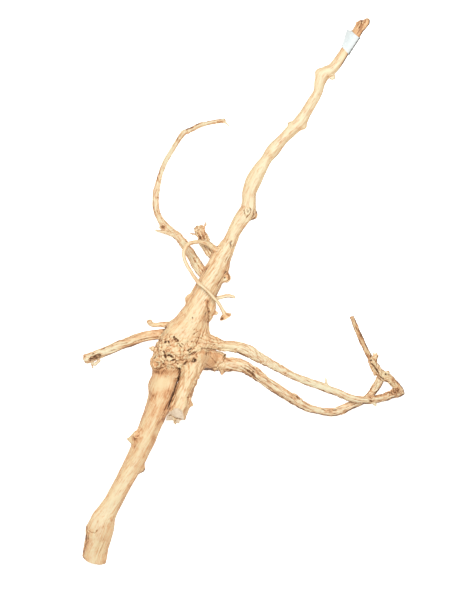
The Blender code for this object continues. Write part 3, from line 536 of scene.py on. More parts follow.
def noise(places, seed):
    """Smooth noise from -1 to 1 with waves about two units long."""
    low = np.floor(places)
    share = places - low
    share = share * share * (3 - 2 * share)
    base = low.astype(np.int64).astype(np.uint64)
    return sum(corner_share(share, c) * lattice_value(base + np.array(c, np.uint64), seed) for c in CORNERS)


def ramp(value, start, end):
    """0 before start and 1 after end, with a smooth rise between them."""
    t = np.clip((value - start) / (end - start), 0, 1)
    return t * t * (3 - 2 * t)


def soft_min(a, b, blend):
    rest = np.maximum(blend - np.abs(a - b), 0)
    return np.minimum(a, b) - rest * rest / (4 * np.maximum(blend, 1e-6))


def soft_max(a, b, blend):
    return -soft_min(-a, -b, blend)


# Limbs

# Flutes round a limb: how many, how high, how they twist along it, and how its seed turns them
FLUTES = ((2, 0.045, 26, 1), (3, 0.03, -38, 2.1), (5, 0.016, 61, 3.7), (7, 0.012, -90, 1.3))
END_ROUNDING = 0.35  # of a limb's end, as a share of its radius


def smooth_route(stations):
    """Samples of a limb's centreline as rows of x, y, z and radius, and the sample of each station."""
    rows = np.array(stations, float)
    rows = np.vstack((2 * rows[0] - rows[1], rows, 2 * rows[-1] - rows[-2]))
    points, marks = [], []
    for a, b, c, d in zip(rows, rows[1:], rows[2:], rows[3:]):
        steps = max(1, round(np.linalg.norm((c - b)[:3]) / STEP))
        marks.append(len(points))
        for k in range(steps):
            t = k / steps
            linear = (c - a) / 2
            square = a - b * 2.5 + c * 2 - d * 0.5
            cubic = b * 1.5 - c * 1.5 + (d - a) / 2
            points.append(b + linear * t + square * t**2 + cubic * t**3)
    marks.append(len(points))
    points.append(rows[-2])
    return np.array(points), marks


class Limb:
    """A root, branch or twig. A place on it is how far along it is, its angle, and how far out."""

    def __init__(self, stations, seed):
        rows, self.marks = smooth_route(stations)
        self.seed = seed
        self.centre = rows[:, :3]
        self.radius = rows[:, 3]
        ahead = np.vstack((self.centre[1:], self.centre[-1:]))
        behind = np.vstack((self.centre[:1], self.centre[:-1]))
        self.tangent = ahead - behind
        self.tangent /= np.linalg.norm(self.tangent, axis=1)[:, None]
        self.side = np.cross(self.tangent, (0, 0, 1))
        self.side /= np.linalg.norm(self.side, axis=1)[:, None]
        self.up = np.cross(self.side, self.tangent)
        gaps = np.linalg.norm(np.diff(self.centre, axis=0), axis=1)
        self.along = np.concatenate(([0], np.cumsum(gaps)))
        self.length = self.along[-1]

    def nearest(self, points):
        """The number of the sample nearest to each point."""
        found = np.empty(len(points), np.int64)
        squares = (self.centre**2).sum(1)
        for start in range(0, len(points), POINTS_AT_ONCE):
            part = slice(start, start + POINTS_AT_ONCE)
            found[part] = np.argmin(squares - 2 * points[part] @ self.centre.T, axis=1)
        return found

    def locate(self, points, sample):
        """Along, angle, out and the overshoot past either end, for points and their nearest samples."""
        off = points - self.centre[sample]
        forward = np.einsum("...i,...i->...", off, self.tangent[sample])
        u = np.einsum("...i,...i->...", off, self.side[sample])
        v = np.einsum("...i,...i->...", off, self.up[sample])
        along = self.along[sample] + forward
        over = np.maximum(-along, along - self.length)
        return along, np.arctan2(v, u), np.hypot(u, v), over

    def reach(self, along, angle):
        """The radius of the fluted limb there."""
        at = along * MM
        share = 1
        for count, height, twist, shift in FLUTES:
            share = share + height * np.cos(count * angle + twist * at + shift * self.seed)
        return np.interp(along, self.along, self.radius) * share

    def distance(self, points, sample):
        """About how far outside the limb points are, and how far along."""
        along, angle, out, over = self.locate(points, sample)
        wall = out - self.reach(along, angle)
        rounding = END_ROUNDING * np.interp(along, self.along, self.radius)
        return soft_max(wall, over, rounding), along


# The block of cells

HIGHEST = 132  # above all of the wood
LOOK_DOWN_STEP = 0.25
SAMPLES_AROUND = 14  # samples of a centreline on both sides of the one nearest to a block
CUT_EDGE = 0.4
FORK_EDGE = 0.25  # how soft a fork is where its own softness has faded
BRIDGE_LENGTH = 5


class Wood:
    """Distances to the nearest wood, in blocks of cells near the limbs only."""

    def __init__(self, spheres):
        """spheres are rows of x, y, z and reach that hold all of the wood."""
        self.size = CELL * BLOCK
        self.low = (spheres[:, :3] - spheres[:, 3:]).min(0) - self.size
        high = (spheres[:, :3] + spheres[:, 3:]).max(0) + self.size
        self.shape = np.ceil((high - self.low) / self.size).astype(int)
        used = np.zeros(self.shape, bool)
        self.half = self.size * math.sqrt(3) / 2
        for x, y, z, reach in spheres:
            middle = np.array((x, y, z))
            first = ((middle - reach - self.half - self.low) / self.size).astype(int)
            last = ((middle + reach + self.half - self.low) / self.size).astype(int) + 1
            part = tuple(slice(a, b) for a, b in zip(first, last))
            centres = (np.moveaxis(np.mgrid[part], 0, -1) + 0.5) * self.size + self.low
            used[part] |= ((centres - middle) ** 2).sum(-1) < (reach + self.half) ** 2
        self.number = np.full(self.shape, -1, np.int32)
        self.number[used] = np.arange(used.sum())
        self.centres = (np.argwhere(used) + 0.5) * self.size + self.low
        steps = (np.arange(BLOCK) + 0.5) * CELL - self.size / 2
        self.offsets = np.stack(np.meshgrid(steps, steps, steps, indexing="ij"), -1).reshape(-1, 3)
        self.values = np.full((len(self.centres), BLOCK**3), FAR, np.float32)
        self.limb = np.zeros((len(self.centres), BLOCK**3), np.int8)

    def near(self, points, reach):
        """The blocks that come within reach of any of the points."""
        found = np.zeros(len(self.centres), bool)
        points = np.atleast_2d(points)
        limit = np.broadcast_to(reach + self.half, len(points))
        for start in range(0, len(points), GAPS_AT_ONCE):
            part = slice(start, start + GAPS_AT_ONCE)
            gaps = ((self.centres[:, None, :] - points[part][None]) ** 2).sum(-1)
            found |= (gaps < limit[part] ** 2).any(1)
        return np.nonzero(found)[0]

    def cells(self, blocks):
        return self.centres[blocks][:, None, :] + self.offsets

    def join_limb(self, number, limb, blend, fade, bridge=None, cuts=()):
        """Adds a limb. Its fork is soft by blend and fades along it, and a bridge softens its far end."""
        every = self.near(limb.centre, limb.radius * FLUTE_ROOM + BAND)
        around = np.arange(-SAMPLES_AROUND, SAMPLES_AROUND + 1)
        offsets = self.offsets.astype(np.float32)
        for start in range(0, len(every), BLOCKS_AT_ONCE):
            blocks = every[start : start + BLOCKS_AT_ONCE]
            window = limb.nearest(self.centres[blocks])[:, None] + around
            window = np.clip(window, 0, len(limb.centre) - 1)
            local = (limb.centre[window] - self.centres[blocks][:, None, :]).astype(np.float32)
            gaps = (local**2).sum(-1)[:, None, :] - 2 * offsets @ local.transpose(0, 2, 1)
            sample = np.take_along_axis(window, np.argmin(gaps, axis=2), axis=1)
            distance, along = limb.distance(self.cells(blocks), sample)
            for point, normal in cuts:
                plane = (self.cells(blocks) - np.array(point)) @ normal_of(normal)
                distance = soft_max(distance, plane, CUT_EDGE)
            softness = blend * np.exp(-((np.maximum(along, 0) / fade) ** 2)) + FORK_EDGE
            if bridge:
                softness = softness + bridge * np.exp(-(((limb.length - along) / BRIDGE_LENGTH) ** 2))
            old = self.values[blocks]
            self.limb[blocks] = np.where(distance < old, number, self.limb[blocks])
            self.values[blocks] = soft_min(old, distance, softness)

    def change(self, points, reach, distance, blend, carve=False, number=None):
        """Adds or carves away a form, given by a function from places to distances."""
        blocks = self.near(points, reach + BAND)
        form = distance(self.cells(blocks))
        old = self.values[blocks]
        if carve:
            self.values[blocks] = soft_max(old, -form, blend)
            return
        if number is not None:
            self.limb[blocks] = np.where(form < old, number, self.limb[blocks])
        self.values[blocks] = soft_min(old, form, blend)

    def find(self, points):
        """The block that each point lies in, and its cell there."""
        cell = ((points - self.low) / CELL).astype(int)
        x, y, z = (cell % BLOCK).T
        return self.number[tuple((cell // BLOCK).T)], (x * BLOCK + y) * BLOCK + z

    def top(self, x, y):
        """The height of the wood's upper side at a place, or None beside the wood."""
        heights = np.arange(HIGHEST, 0, -LOOK_DOWN_STEP)
        column = np.stack((np.full_like(heights, x), np.full_like(heights, y), heights), 1)
        block, inside = self.find(column)
        hit = np.nonzero(np.where(block >= 0, self.values[block, inside], FAR) < 0)[0]
        return heights[hit[0]] if len(hit) else None

    def dense(self):
        """All cells as one array."""
        full = np.full((*self.shape, BLOCK**3), FAR, np.float32)
        full[self.number >= 0] = self.values
        full = full.reshape(*self.shape, BLOCK, BLOCK, BLOCK).transpose(0, 3, 1, 4, 2, 5)
        return np.ascontiguousarray(full.reshape(self.shape * BLOCK))


def normal_of(direction):
    return np.array(direction) / np.linalg.norm(direction)


def ball(centre, size, turn=0.0):
    """A function that gives the distance to an ellipsoid, turned about +Z by degrees."""
    c, s = math.cos(math.radians(turn)), math.sin(math.radians(turn))
    spin = np.array(((c, -s, 0), (s, c, 0), (0, 0, 1)))

    def distance(places):
        off = (places - np.array(centre)) @ spin / np.array(size)
        return (np.sqrt((off**2).sum(-1)) - 1) * min(size)

    return distance


def rod(start, end, first_radius, last_radius):
    """A function that gives the distance to a tapered round rod."""
    start, end = np.array(start, float), np.array(end, float)
    line = end - start

    def distance(places):
        share = np.clip((places - start) @ line / (line @ line), 0, 1)
        off = np.linalg.norm(places - start - share[..., None] * line, axis=-1)
        return off - (first_radius + (last_radius - first_radius) * share)

    return distance


# The wood, form by form

PAD_REACH = 8
PAD_EDGE = 1.2
PAD_BLEND = 1.5
STUB_BLEND = 1.6
SHORT_ROOT_BLEND = 2.5
RIDGE_BLEND = 0.5
CARVE_BLEND = 0.6
BRIDGED = {"right_lower_root": 2.5}  # the limb that grew on to another at its far end, and how softly
LINE_STEP = 0.6
HOLE_SHAKE = 0.7  # how ragged a hole is, as a share of its size
CREASE_SHAKE = 0.4
SHAKE_SIZE = 1.3
HOLE_SEED = 60
CREASE_SEED = 50


def limb_number(name):
    return list(LIMBS).index(name)


def join_limbs(limbs):
    reach = [np.column_stack((limb.centre, limb.radius * FLUTE_ROOM + BAND)) for limb in limbs.values()]
    lumps = np.array(CROWN_LUMPS + STEM_LUMPS + ROOT_LUMPS + SHORT_ROOT_LUMPS) + (0, 0, 0, BAND + 1)
    wood = Wood(np.vstack((*reach, lumps, (*LOOP_PAD["centre"], PAD_REACH + 1))))
    for number, (name, (_, _, blend, fade, *_)) in enumerate(LIMBS.items()):
        wood.join_limb(number, limbs[name], blend, fade, BRIDGED.get(name), CUTS.get(name, ()))
        if name == "trunk":
            for kind, softness in TRUNK_LUMPS:
                add_lumps(wood, kind, softness)
    add_lumps(wood, SHORT_ROOT_LUMPS, SHORT_ROOT_BLEND)
    return wood


def add_lumps(wood, lumps, blend):
    for x, y, z, radius in lumps:
        wood.change((x, y, z), radius, ball((x, y, z), (radius,) * 3), blend)


def add_pad(wood):
    """The flat scar that ends the loop twig: a short flared cup."""
    centre, axis = np.array(LOOP_PAD["centre"]), normal_of(LOOP_PAD["axis"])

    def distance(places):
        off = places - centre
        high = off @ axis
        out = np.linalg.norm(off - high[..., None] * axis, axis=-1)
        share = np.clip(high / LOOP_PAD["thickness"] + 0.5, 0, 1)
        flare = LOOP_PAD["neck_radius"] + (LOOP_PAD["radius"] - LOOP_PAD["neck_radius"]) * share
        return soft_max(out - flare, np.abs(high) - LOOP_PAD["thickness"] / 2, PAD_EDGE)

    wood.change(centre, PAD_REACH, distance, PAD_BLEND, number=limb_number("loop_twig"))


def add_stubs(wood, limbs):
    for host, root, tip, first_radius, last_radius, rise in STUBS:
        x, y = on_plan(*root)
        limb = limbs[host]
        z = limb.centre[np.argmin(np.hypot(limb.centre[:, 0] - x, limb.centre[:, 1] - y)), 2]
        start, end = (*on_plan(*root, z), z), (*on_plan(*tip, z), z + rise)
        middle = (np.array(start) + np.array(end)) / 2
        reach = math.dist(start, end) / 2 + first_radius
        form = rod(start, end, first_radius, last_radius)
        wood.change(middle, reach, form, STUB_BLEND, number=limb_number(host))


def place_holes(wood):
    """Each hole as a centre and half its size, set into the wood's upper side."""
    placed = []
    for across, down, width, height, depth in HOLES:
        top = wood.top(*on_plan(across, down))
        if top is not None:
            placed.append(((*on_plan(across, down, top), top), (width, height, depth)))
    return placed


def place_lines(wood, lines):
    """Each line as rows of x, y, z on the wood with its half width and depth, and how dark it is inside."""
    placed = []
    for points, width, depth, dark in lines:
        route = np.array([on_plan(*p) for p in points])
        gaps = np.linalg.norm(np.diff(route, axis=0), axis=1)
        along = np.concatenate(([0], np.cumsum(gaps)))
        steps = np.linspace(0, along[-1], max(3, int(along[-1] / LINE_STEP)))
        rows = []
        for s in steps:
            x, y = np.interp(s, along, route[:, 0]), np.interp(s, along, route[:, 1])
            top = wood.top(x, y)
            if top is not None:
                fade = min(1, 4 * min(s, along[-1] - s) / along[-1] + 0.25)
                rows.append((x, y, top, width / 2 * fade, depth * fade))
        if len(rows) > 1:
            placed.append((np.array(rows), dark))
    return placed


def crease_depth(rows, places):
    """How deep each place lies in a crease: 1 on its line at the skin and 0 outside it."""
    best = np.full(places.shape[:-1], 9.0)
    for x, y, z, half, depth in rows:
        off = (places - (x, y, z)) / (half, half, depth)
        best = np.minimum(best, (off**2).sum(-1))
    return np.sqrt(best)


def ragged(places, size, seed):
    """The places, shaken so that a form worked in there gets a ragged outline."""
    flat = places.reshape(-1, 3)
    shake = np.stack([noise(flat / SHAKE_SIZE, seed + axis) for axis in range(3)], 1)
    return places + (shake * size).reshape(places.shape)


def raise_ridges(wood):
    for rows, _ in place_lines(wood, [(points, width, 0.5 * width, 0) for points, width in RIDGES]):
        half = rows[:, 3].max()

        def distance(places, rows=rows, half=half):
            return (crease_depth(rows, places) - 1) * half

        wood.change(rows[:, :3], half, distance, RIDGE_BLEND)


def carve(wood, holes, creases):
    for number, (centre, size) in enumerate(holes):
        form = ball(centre, size)

        def distance(places, form=form, size=size, number=number):
            return form(ragged(places, HOLE_SHAKE * min(size), HOLE_SEED + number))

        wood.change(centre, max(size), distance, CARVE_BLEND, carve=True)
    for rows, _ in creases:
        half = rows[:, 3].max()

        def distance(places, rows=rows, half=half):
            return (crease_depth(rows, ragged(places, CREASE_SHAKE * half, CREASE_SEED)) - 1) * half

        wood.change(rows[:, :3], rows[:, 4].max(), distance, CARVE_BLEND, carve=True)


# From cells to a skin


def draw_skin(values, low):
    """The points and four-sided faces of the surface where the distance is 0."""
    inside = values < 0
    count = np.zeros([n - 1 for n in values.shape], np.uint8)
    shape = count.shape
    for i, j, k in CORNERS:
        count += inside[i : i + shape[0], j : j + shape[1], k : k + shape[2]]
    cells = np.argwhere((count > 0) & (count < 8))
    held = [values[tuple((cells + corner).T)] for corner in CORNERS]
    total = np.zeros((len(cells), 3))
    hits = np.zeros(len(cells))
    for a, first in enumerate(CORNERS):
        for b, last in enumerate(CORNERS):
            if b <= a or sum(abs(p - q) for p, q in zip(first, last)) != 1:
                continue
            crossed = (held[a] < 0) != (held[b] < 0)
            share = np.where(crossed, held[a] / np.where(crossed, held[a] - held[b], 1), 0)
            at = np.array(first) + share[:, None] * (np.array(last) - np.array(first))
            total += at * crossed[:, None]
            hits += crossed
    points = (cells + total / hits[:, None] + 0.5) * CELL + low
    strides = np.array((shape[1] * shape[2], shape[2], 1))
    keys = cells @ strides
    faces = []
    for axis in range(3):
        one = [slice(1, n) for n in values.shape]
        one[axis] = slice(0, -1)
        two = [slice(1, n) for n in values.shape]
        two[axis] = slice(1, None)
        edges = np.argwhere(inside[tuple(one)] != inside[tuple(two)])
        lead = np.ones(3, int)
        lead[axis] = 0
        edges = edges + lead
        solid = inside[tuple(edges.T)]
        u, v = np.eye(3, dtype=int)[(axis + 1) % 3], np.eye(3, dtype=int)[(axis + 2) % 3]
        ring = [edges - u - v, edges - v, edges, edges - u]
        quads = np.stack([np.searchsorted(keys, cell @ strides) for cell in ring], 1)
        quads[~solid] = quads[~solid][:, ::-1]
        faces.append(quads)
    return points, np.vstack(faces)


def sample(values, low, points):
    """The distance at any point, between the cells' own."""
    at = (points - low) / CELL - 0.5
    base = np.floor(at).astype(int)
    base = np.clip(base, 0, np.array(values.shape) - 2)
    share = at - base
    return sum(corner_share(share, corner) * values[tuple((base + corner).T)] for corner in CORNERS)


def slope(values, low, points):
    """The direction in which the distance grows."""
    steps = np.eye(3) * CELL * 0.75
    parts = [sample(values, low, points + s) - sample(values, low, points - s) for s in steps]
    direction = np.stack(parts, 1)
    return direction / np.maximum(np.linalg.norm(direction, axis=1), 1e-9)[:, None]


def spread(faces, values):
    """The mean of each point's neighbours."""
    count = len(values)
    total = np.zeros((count, values.shape[1]))
    links = np.zeros(count)
    for a, b in ((0, 1), (1, 2), (2, 3), (3, 0)):
        one, two = faces[:, a], faces[:, b]
        for source, target in ((one, two), (two, one)):
            links += np.bincount(target, minlength=count)
            for axis in range(values.shape[1]):
                total[:, axis] += np.bincount(target, values[source, axis], minlength=count)
    return total / links[:, None]


def point_normals(points, faces):
    across = np.cross(points[faces[:, 2]] - points[faces[:, 0]], points[faces[:, 3]] - points[faces[:, 1]])
    total = np.zeros_like(points)
    for corner in range(4):
        for axis in range(3):
            total[:, axis] += np.bincount(faces[:, corner], across[:, axis], minlength=len(points))
    return total / np.maximum(np.linalg.norm(total, axis=1), 1e-12)[:, None]


# Grain, flutes and pits in the skin

GRAIN_TWIST = 0.012  # how the grain winds round a limb
LIMB_TURN = 1.7  # sets each limb's grain apart from the others'
LIMB_OFFSET = (31.0, 17.0, 53.0)

# Waves along the grain: their width against the flutes', their length along the limb, and their seed
FLUTE_WAVE = (1, 30, 1)
RIDGE_WAVE = (0.4, 13, 3)
SWELL_WAVE = (1.6, 12, 4)
FOLD_WAVE = (1.4, 19, 13)
FLUTE_WIDTH = (1.4, 0.2)  # on the thinnest twig, and more for each millimetre of radius
CUT_PLACES = (7, 22, 2)
CUT_HALF = 0.22
# Waves that are alike in every direction: their size and their seed
KNOB_WAVE = (4.0, 5)
FINE_WAVE = (1.6, 6)
KINK_WAVE = (2.6, 15)
BEND_WAVE = (3.0, 20)
BUMP_WAVE = (3.2, 8)
BURL_WAVE = (4.4, 25)
PIT_WAVE = (1.9, 7)
ROUGH_WAVE = (2.0, 14)
SAW_WAVE = (0.9, 10)
BEND = 1.2  # how far the lines of the bumps, the burl and the pits are bent
ROUGH_FROM = 0.55  # the strength of a dark patch from which the skin under it is rough
# How far each kind moves the skin: on the thinnest twig, and more on thick limbs
CUT_DEPTH = (0.12, 0.6)
RIDGE_HEIGHT = (0.14, 0.2)
SWELL_HEIGHT = (0.18, 0.4)
FOLD_HEIGHT = (0.3, 0.7)
KINK_HEIGHT = (0.12, 0.15)


class Skin:
    """The wood's surface: its points, faces and what is known of each point."""

    def __init__(self, wood, limbs):
        values = wood.dense()
        self.points, self.faces = draw_skin(values, wood.low)
        for _ in range(2):
            self.points = 0.5 * self.points + 0.5 * spread(self.faces, self.points)
            way = slope(values, wood.low, self.points)
            self.points = self.points - way * sample(values, wood.low, self.points)[:, None]
        self.limb = wood.limb[wood.find(self.points)]
        self.along, self.angle, self.radius = np.zeros((3, len(self.points)))
        for number, limb in enumerate(limbs.values()):
            mine = np.nonzero(self.limb == number)[0]
            if len(mine):
                nearest = limb.nearest(self.points[mine])
                along, angle, *_ = limb.locate(self.points[mine], nearest)
                self.along[mine], self.angle[mine] = along, angle
                self.radius[mine] = np.interp(along, limb.along, limb.radius)
        twist = self.angle + self.along * GRAIN_TWIST + self.limb * LIMB_TURN
        self.grain = np.stack((self.radius * np.cos(twist), self.radius * np.sin(twist), self.along), 1)
        self.grain += self.limb[:, None] * LIMB_OFFSET
        self.normals = point_normals(self.points, self.faces)

    def grain_noise(self, width, length, seed):
        """Noise in streaks of this width and length along the limb."""
        across, along = self.grain[:, :2] / np.reshape(width, (-1, 1)), self.grain[:, 2:] / length
        return noise(np.hstack((across, along)), seed)

    def near_plan(self, across, down, width, height, turn=0.0):
        """How far each point lies from a place on the plan, in units of the given half width and height."""
        x, y = on_plan(across, down)
        c, s = math.cos(math.radians(turn)), math.sin(math.radians(turn))
        dx, dy = self.points[:, 0] - x, self.points[:, 1] - y
        return np.hypot((dx * c + dy * s) / width, (dy * c - dx * s) / height)

    def line_gap(self, points):
        """How far each point lies from a line on the plan."""
        best = np.full(len(self.points), 99.0)
        corners = [np.array(on_plan(*point)) for point in points]
        for start, end in zip(corners, corners[1:]):
            off, line = self.points[:, :2] - start, end - start
            share = np.clip(off @ line / (line @ line), 0, 1)
            best = np.minimum(best, np.linalg.norm(off - share[:, None] * line, axis=1))
        return best


def limb_looks(skin):
    """How gnarled, how pale and how warm each point is, with soft changes from limb to limb."""
    looks = np.zeros((len(skin.points), 3))
    for number, (*_, gnarl, pale, warm) in enumerate(LIMBS.values()):
        looks[skin.limb == number] = (gnarl, pale, warm)
    trunk = skin.limb == 0
    table = np.array(TRUNK_LOOKS)
    down = PLAN_CORNER[1] - skin.points[trunk, 1]
    looks[trunk] = np.stack([np.interp(down, table[:, 0], column) for column in table.T[1:]], 1)
    for _ in range(LOOKS_BLEND):
        looks = spread(skin.faces, looks)
    return looks.T


def waves_of(places, wave):
    """Noise that is alike in every direction."""
    size, seed = wave
    return noise(places / size, seed)


class Relief:
    """The noise that the relief is made of."""

    def __init__(self, skin):
        width = FLUTE_WIDTH[0] + FLUTE_WIDTH[1] * skin.radius

        def along_grain(wave):
            share, length, seed = wave
            return skin.grain_noise(share * width, length, seed)

        self.cuts = np.clip(1 - np.abs(along_grain(FLUTE_WAVE)) / CUT_HALF, 0, 1) ** 1.5
        self.cuts *= ramp(skin.grain_noise(*CUT_PLACES), -0.15, 0.35)
        self.ridges = along_grain(RIDGE_WAVE)
        self.swell = along_grain(SWELL_WAVE)
        self.folds = np.abs(along_grain(FOLD_WAVE)) - 0.3
        self.knobs = waves_of(skin.points, KNOB_WAVE)
        self.fine = waves_of(skin.points, FINE_WAVE)
        self.kinks = waves_of(skin.points, KINK_WAVE)
        size, seed = BEND_WAVE
        bends = [waves_of(skin.points, (size, seed + axis)) for axis in range(3)]
        bent = skin.points + BEND * np.stack(bends, 1)
        self.bumps = waves_of(bent, BUMP_WAVE)
        self.burl = np.abs(waves_of(bent, BURL_WAVE))
        self.pits = ramp(waves_of(bent, PIT_WAVE), 0.5, 0.8)


def rough_places(skin):
    """How rough the skin is under the strongest dark patches."""
    rough = np.zeros(len(skin.points))
    for *place, strength in PATCHES:
        if strength > ROUGH_FROM:
            rough = np.maximum(rough, ramp(skin.near_plan(*place), 1.2, 0.6) * strength)
    return rough * ramp(skin.normals[:, 2], -0.3, 0.2)


def calm_places(skin):
    """The share of the relief that stays."""
    calm = np.ones(len(skin.points))
    for *place, kept in CALM:
        calm *= 1 - (1 - kept) * ramp(skin.near_plan(*place), 1.2, 0.7)
    return calm


def limb_relief(skin, wave, gnarl, crown, sawn, calm):
    """How far the skin stands out with its flutes, folds, burl, rough stains and saw marks."""
    thick = ramp(skin.radius, 1.5, 9)

    def by_girth(height):
        return height[0] + height[1] * thick

    shift = -wave.cuts * by_girth(CUT_DEPTH)
    long_waves = wave.ridges * by_girth(RIDGE_HEIGHT) + wave.swell * by_girth(SWELL_HEIGHT)
    shift += long_waves + wave.folds * by_girth(FOLD_HEIGHT)
    shift += wave.kinks * by_girth(KINK_HEIGHT)
    shift *= gnarl * (1 - 0.5 * crown)
    shift += ramp(gnarl, 1.2, 2.2) * (wave.fine * 0.25 - wave.pits * 0.3)
    burl = wave.bumps * 1.1 + wave.fine * 0.4 - wave.pits * 0.9 + 2.4 * np.minimum(wave.burl, 0.4) - 0.7
    shift += crown * burl
    shift += rough_places(skin) * (0.4 * waves_of(skin.points, ROUGH_WAVE) + 0.3 * wave.fine - 0.15)
    shift *= calm
    shift *= 1 - 0.8 * sawn
    shift += sawn * (0.12 * waves_of(skin.points, SAW_WAVE) - 0.1)
    return shift * (1 - 0.85 * tag_cover(skin))


def bell(value, middle, half):
    return np.exp(-(((value - middle) / half) ** 2))


def knot_rims(skin, wood, wave):
    """How far the knots' rims stand up, and where a ring runs round a knot."""
    rim, ring = np.zeros((2, len(skin.points)))
    broken = np.clip(0.7 + 1.2 * wave.knobs, 0, 1)
    for across, down, size_x, size_y, turn, stand in KNOTS:
        top = wood.top(*on_plan(across, down))
        if top is None:
            continue
        way = skin.near_plan(across, down, size_x, size_y, turn) + 0.34 * wave.kinks
        upper = ramp(skin.points[:, 2], top - 6, top - 3) * stand
        rim += (0.9 * bell(way, 0.75, 0.22) - 0.6 * bell(way, 0, 0.35)) * upper
        ring += (bell(way, 1.05, 0.16) + 0.8 * bell(way, 0.45, 0.14)) * upper * broken
    return rim, ring


def depth_inside(places, holes, creases):
    """Painted shade in holes and dark creases: 1 deep inside them, and 0 on the open skin."""
    deep = np.zeros(len(places))
    for centre, size in holes:
        off = np.sqrt((((places - centre) / np.array(size)) ** 2).sum(1))
        deep = np.maximum(deep, ramp(off, 1.2, 0.75))
    for rows, dark in creases:
        deep = np.maximum(deep, ramp(crease_depth(rows, places), 1.25, 0.7) * dark)
    return deep


def press_relief(skin, wood, holes, creases):
    """Moves the skin's points in and out, and marks stains, sawn faces, and painted shade and highlight."""
    before, upward = skin.points, skin.normals[:, 2]
    gnarl, pale, warm = limb_looks(skin)
    warm += np.clip(0.6 - warm, 0, 1) * ramp(np.linalg.norm(before - CROWN_MIDDLE, axis=1), 80, 30)
    crown = ramp(np.linalg.norm((before - CROWN_MIDDLE) / CROWN_SIZE, axis=1), 1.3, 0.8)
    sawn = sawn_faces(skin)
    calm = calm_places(skin)
    wave = Relief(skin)
    rim, ring = knot_rims(skin, wood, wave)
    shift = limb_relief(skin, wave, gnarl, crown, sawn, calm) + (rim - 0.4 * ring)
    skin.points = before + skin.normals * shift[:, None]
    skin.normals = point_normals(skin.points, skin.faces)

    deep = depth_inside(before, holes, creases)
    tone = 0.25 * pale
    side = ramp(skin.normals[:, 2], 0.8, 0.45)
    # Painted shade: thin dark lines along the shaded sides of the limbs, darkening the colour and adding to
    # the deep mark
    for points, width, strength in PAINTED_SIDE_SHADE:
        side_line_shade = ramp(skin.line_gap(points), width, width * 0.5) * side * strength
        tone -= side_line_shade
        deep = np.maximum(deep, 0.7 * side_line_shade - 0.15)
    # Real stains and bleaching, and also painted shade under overhangs and painted highlights on lips and
    # knuckles
    for *place, strength in PATCHES:
        way = skin.near_plan(*place) + 0.35 * wave.kinks
        stain_and_painted_light = ramp(way, 1.2, 0.4) * strength * ramp(upward, -0.4, 0.2)
        tone -= 0.45 * stain_and_painted_light
        warm += 0.5 * np.clip(stain_and_painted_light, 0, 1)
    # Painted highlight along the raised ridges
    for points, width in RIDGES:
        tone += ramp(skin.line_gap(points), width * 0.7, width * 0.35) * 0.3
    # Painted highlight on the crown's raised knobs, between its cracks
    tone += crown * (0.2 * ramp(wave.burl, 0.2, 0.4) + 0.3 * np.clip(wave.bumps, -0.4, 0.5) - 0.08)

    # Painted shade and highlight from the skin's own shape: darker in hollows, flute cuts, knot rings and
    # cracks, paler where it bulges
    tight, wide = hollow(skin)
    cracks = crown * ramp(wave.burl, 0.13, 0.02) * calm
    groove = 0.7 * ramp(tight, 0.02, 0.25) + 0.6 * ramp(wide, 0.15, 0.9) + 0.35 * wave.cuts * gnarl
    groove += 0.8 * ring + 0.9 * cracks + deep
    # Painted shade: sides that face away from the light overhead are painted darker and warmer than the
    # upper side, most where they face lower right
    flank = 1 - np.clip(skin.normals[:, 2], 0, 1) ** 2
    warm += 1.5 * flank
    flank *= (1 + 0.25 * np.clip(skin.normals @ PAINTED_SHADE_SIDE, -0.4, 1)) * (1 - 0.8 * ramp(pale, 0.25, 0.4))
    skin.marks = {
        # deep: painted shade in holes, creases, crown pits and along shaded sides
        "deep": np.clip(deep * 0.95 + wave.pits * 0.45 * crown, 0, 1),
        "groove": np.clip(groove, 0, 1),
        # ridge: painted highlight on convex places
        "ridge": ramp(-tight, 0.02, 0.22),
        "sawn": sawn,
        "tone": tone,
        "flank": flank * (0.8 + 0.2 * ramp(skin.radius, 1.5, 7)),
        "warm": warm,
        "figure": (0.6 + 0.45 * gnarl) * (0.4 + 0.6 * calm),
    }


def hollow(skin):
    """How far each point lies below its near and its wider surroundings."""
    found = []
    near = skin.points
    for rounds in (3, 12):
        for _ in range(rounds):
            near = spread(skin.faces, near)
        found.append(((near - skin.points) * skin.normals).sum(1))
    return found


def sawn_faces(skin):
    """1 where a point lies in a saw cut."""
    sawn = np.zeros(len(skin.points))
    for name, cuts in CUTS.items():
        for point, normal in cuts:
            height = (skin.points - np.array(point)) @ normal_of(normal)
            facing = skin.normals @ normal_of(normal)
            held = (skin.limb == limb_number(name)) & (np.abs(height) < SAW_REACH)
            sawn = np.maximum(sawn, held * ramp(facing, 0.75, 0.95))
    return sawn


def tag_cover(skin):
    """1 where the paper tag lies on the wood."""
    start, end = np.array(TAG_STATIONS)
    length = np.linalg.norm(end - start)
    along = (skin.points[:, :2] - start) @ ((end - start) / length)
    return ramp(along, -6, -2) * ramp(along, length + 8, length + 4)


# Pieces

# The nodes that the skin is divided among, in the order in which their pieces are made

NODES = (
    "main_root", "root_crown", "main_stem", "short_root", "left_root", "left_spur", "right_upper_root",
    "right_lower_root", "right_hook", "curled_branch", "loop_twig", "broken_branch", "small_twig",
)


def add_object(name, data):
    """A new object at the origin."""
    made = bpy.data.objects.new(name, data)
    bpy.context.collection.objects.link(made)
    return made


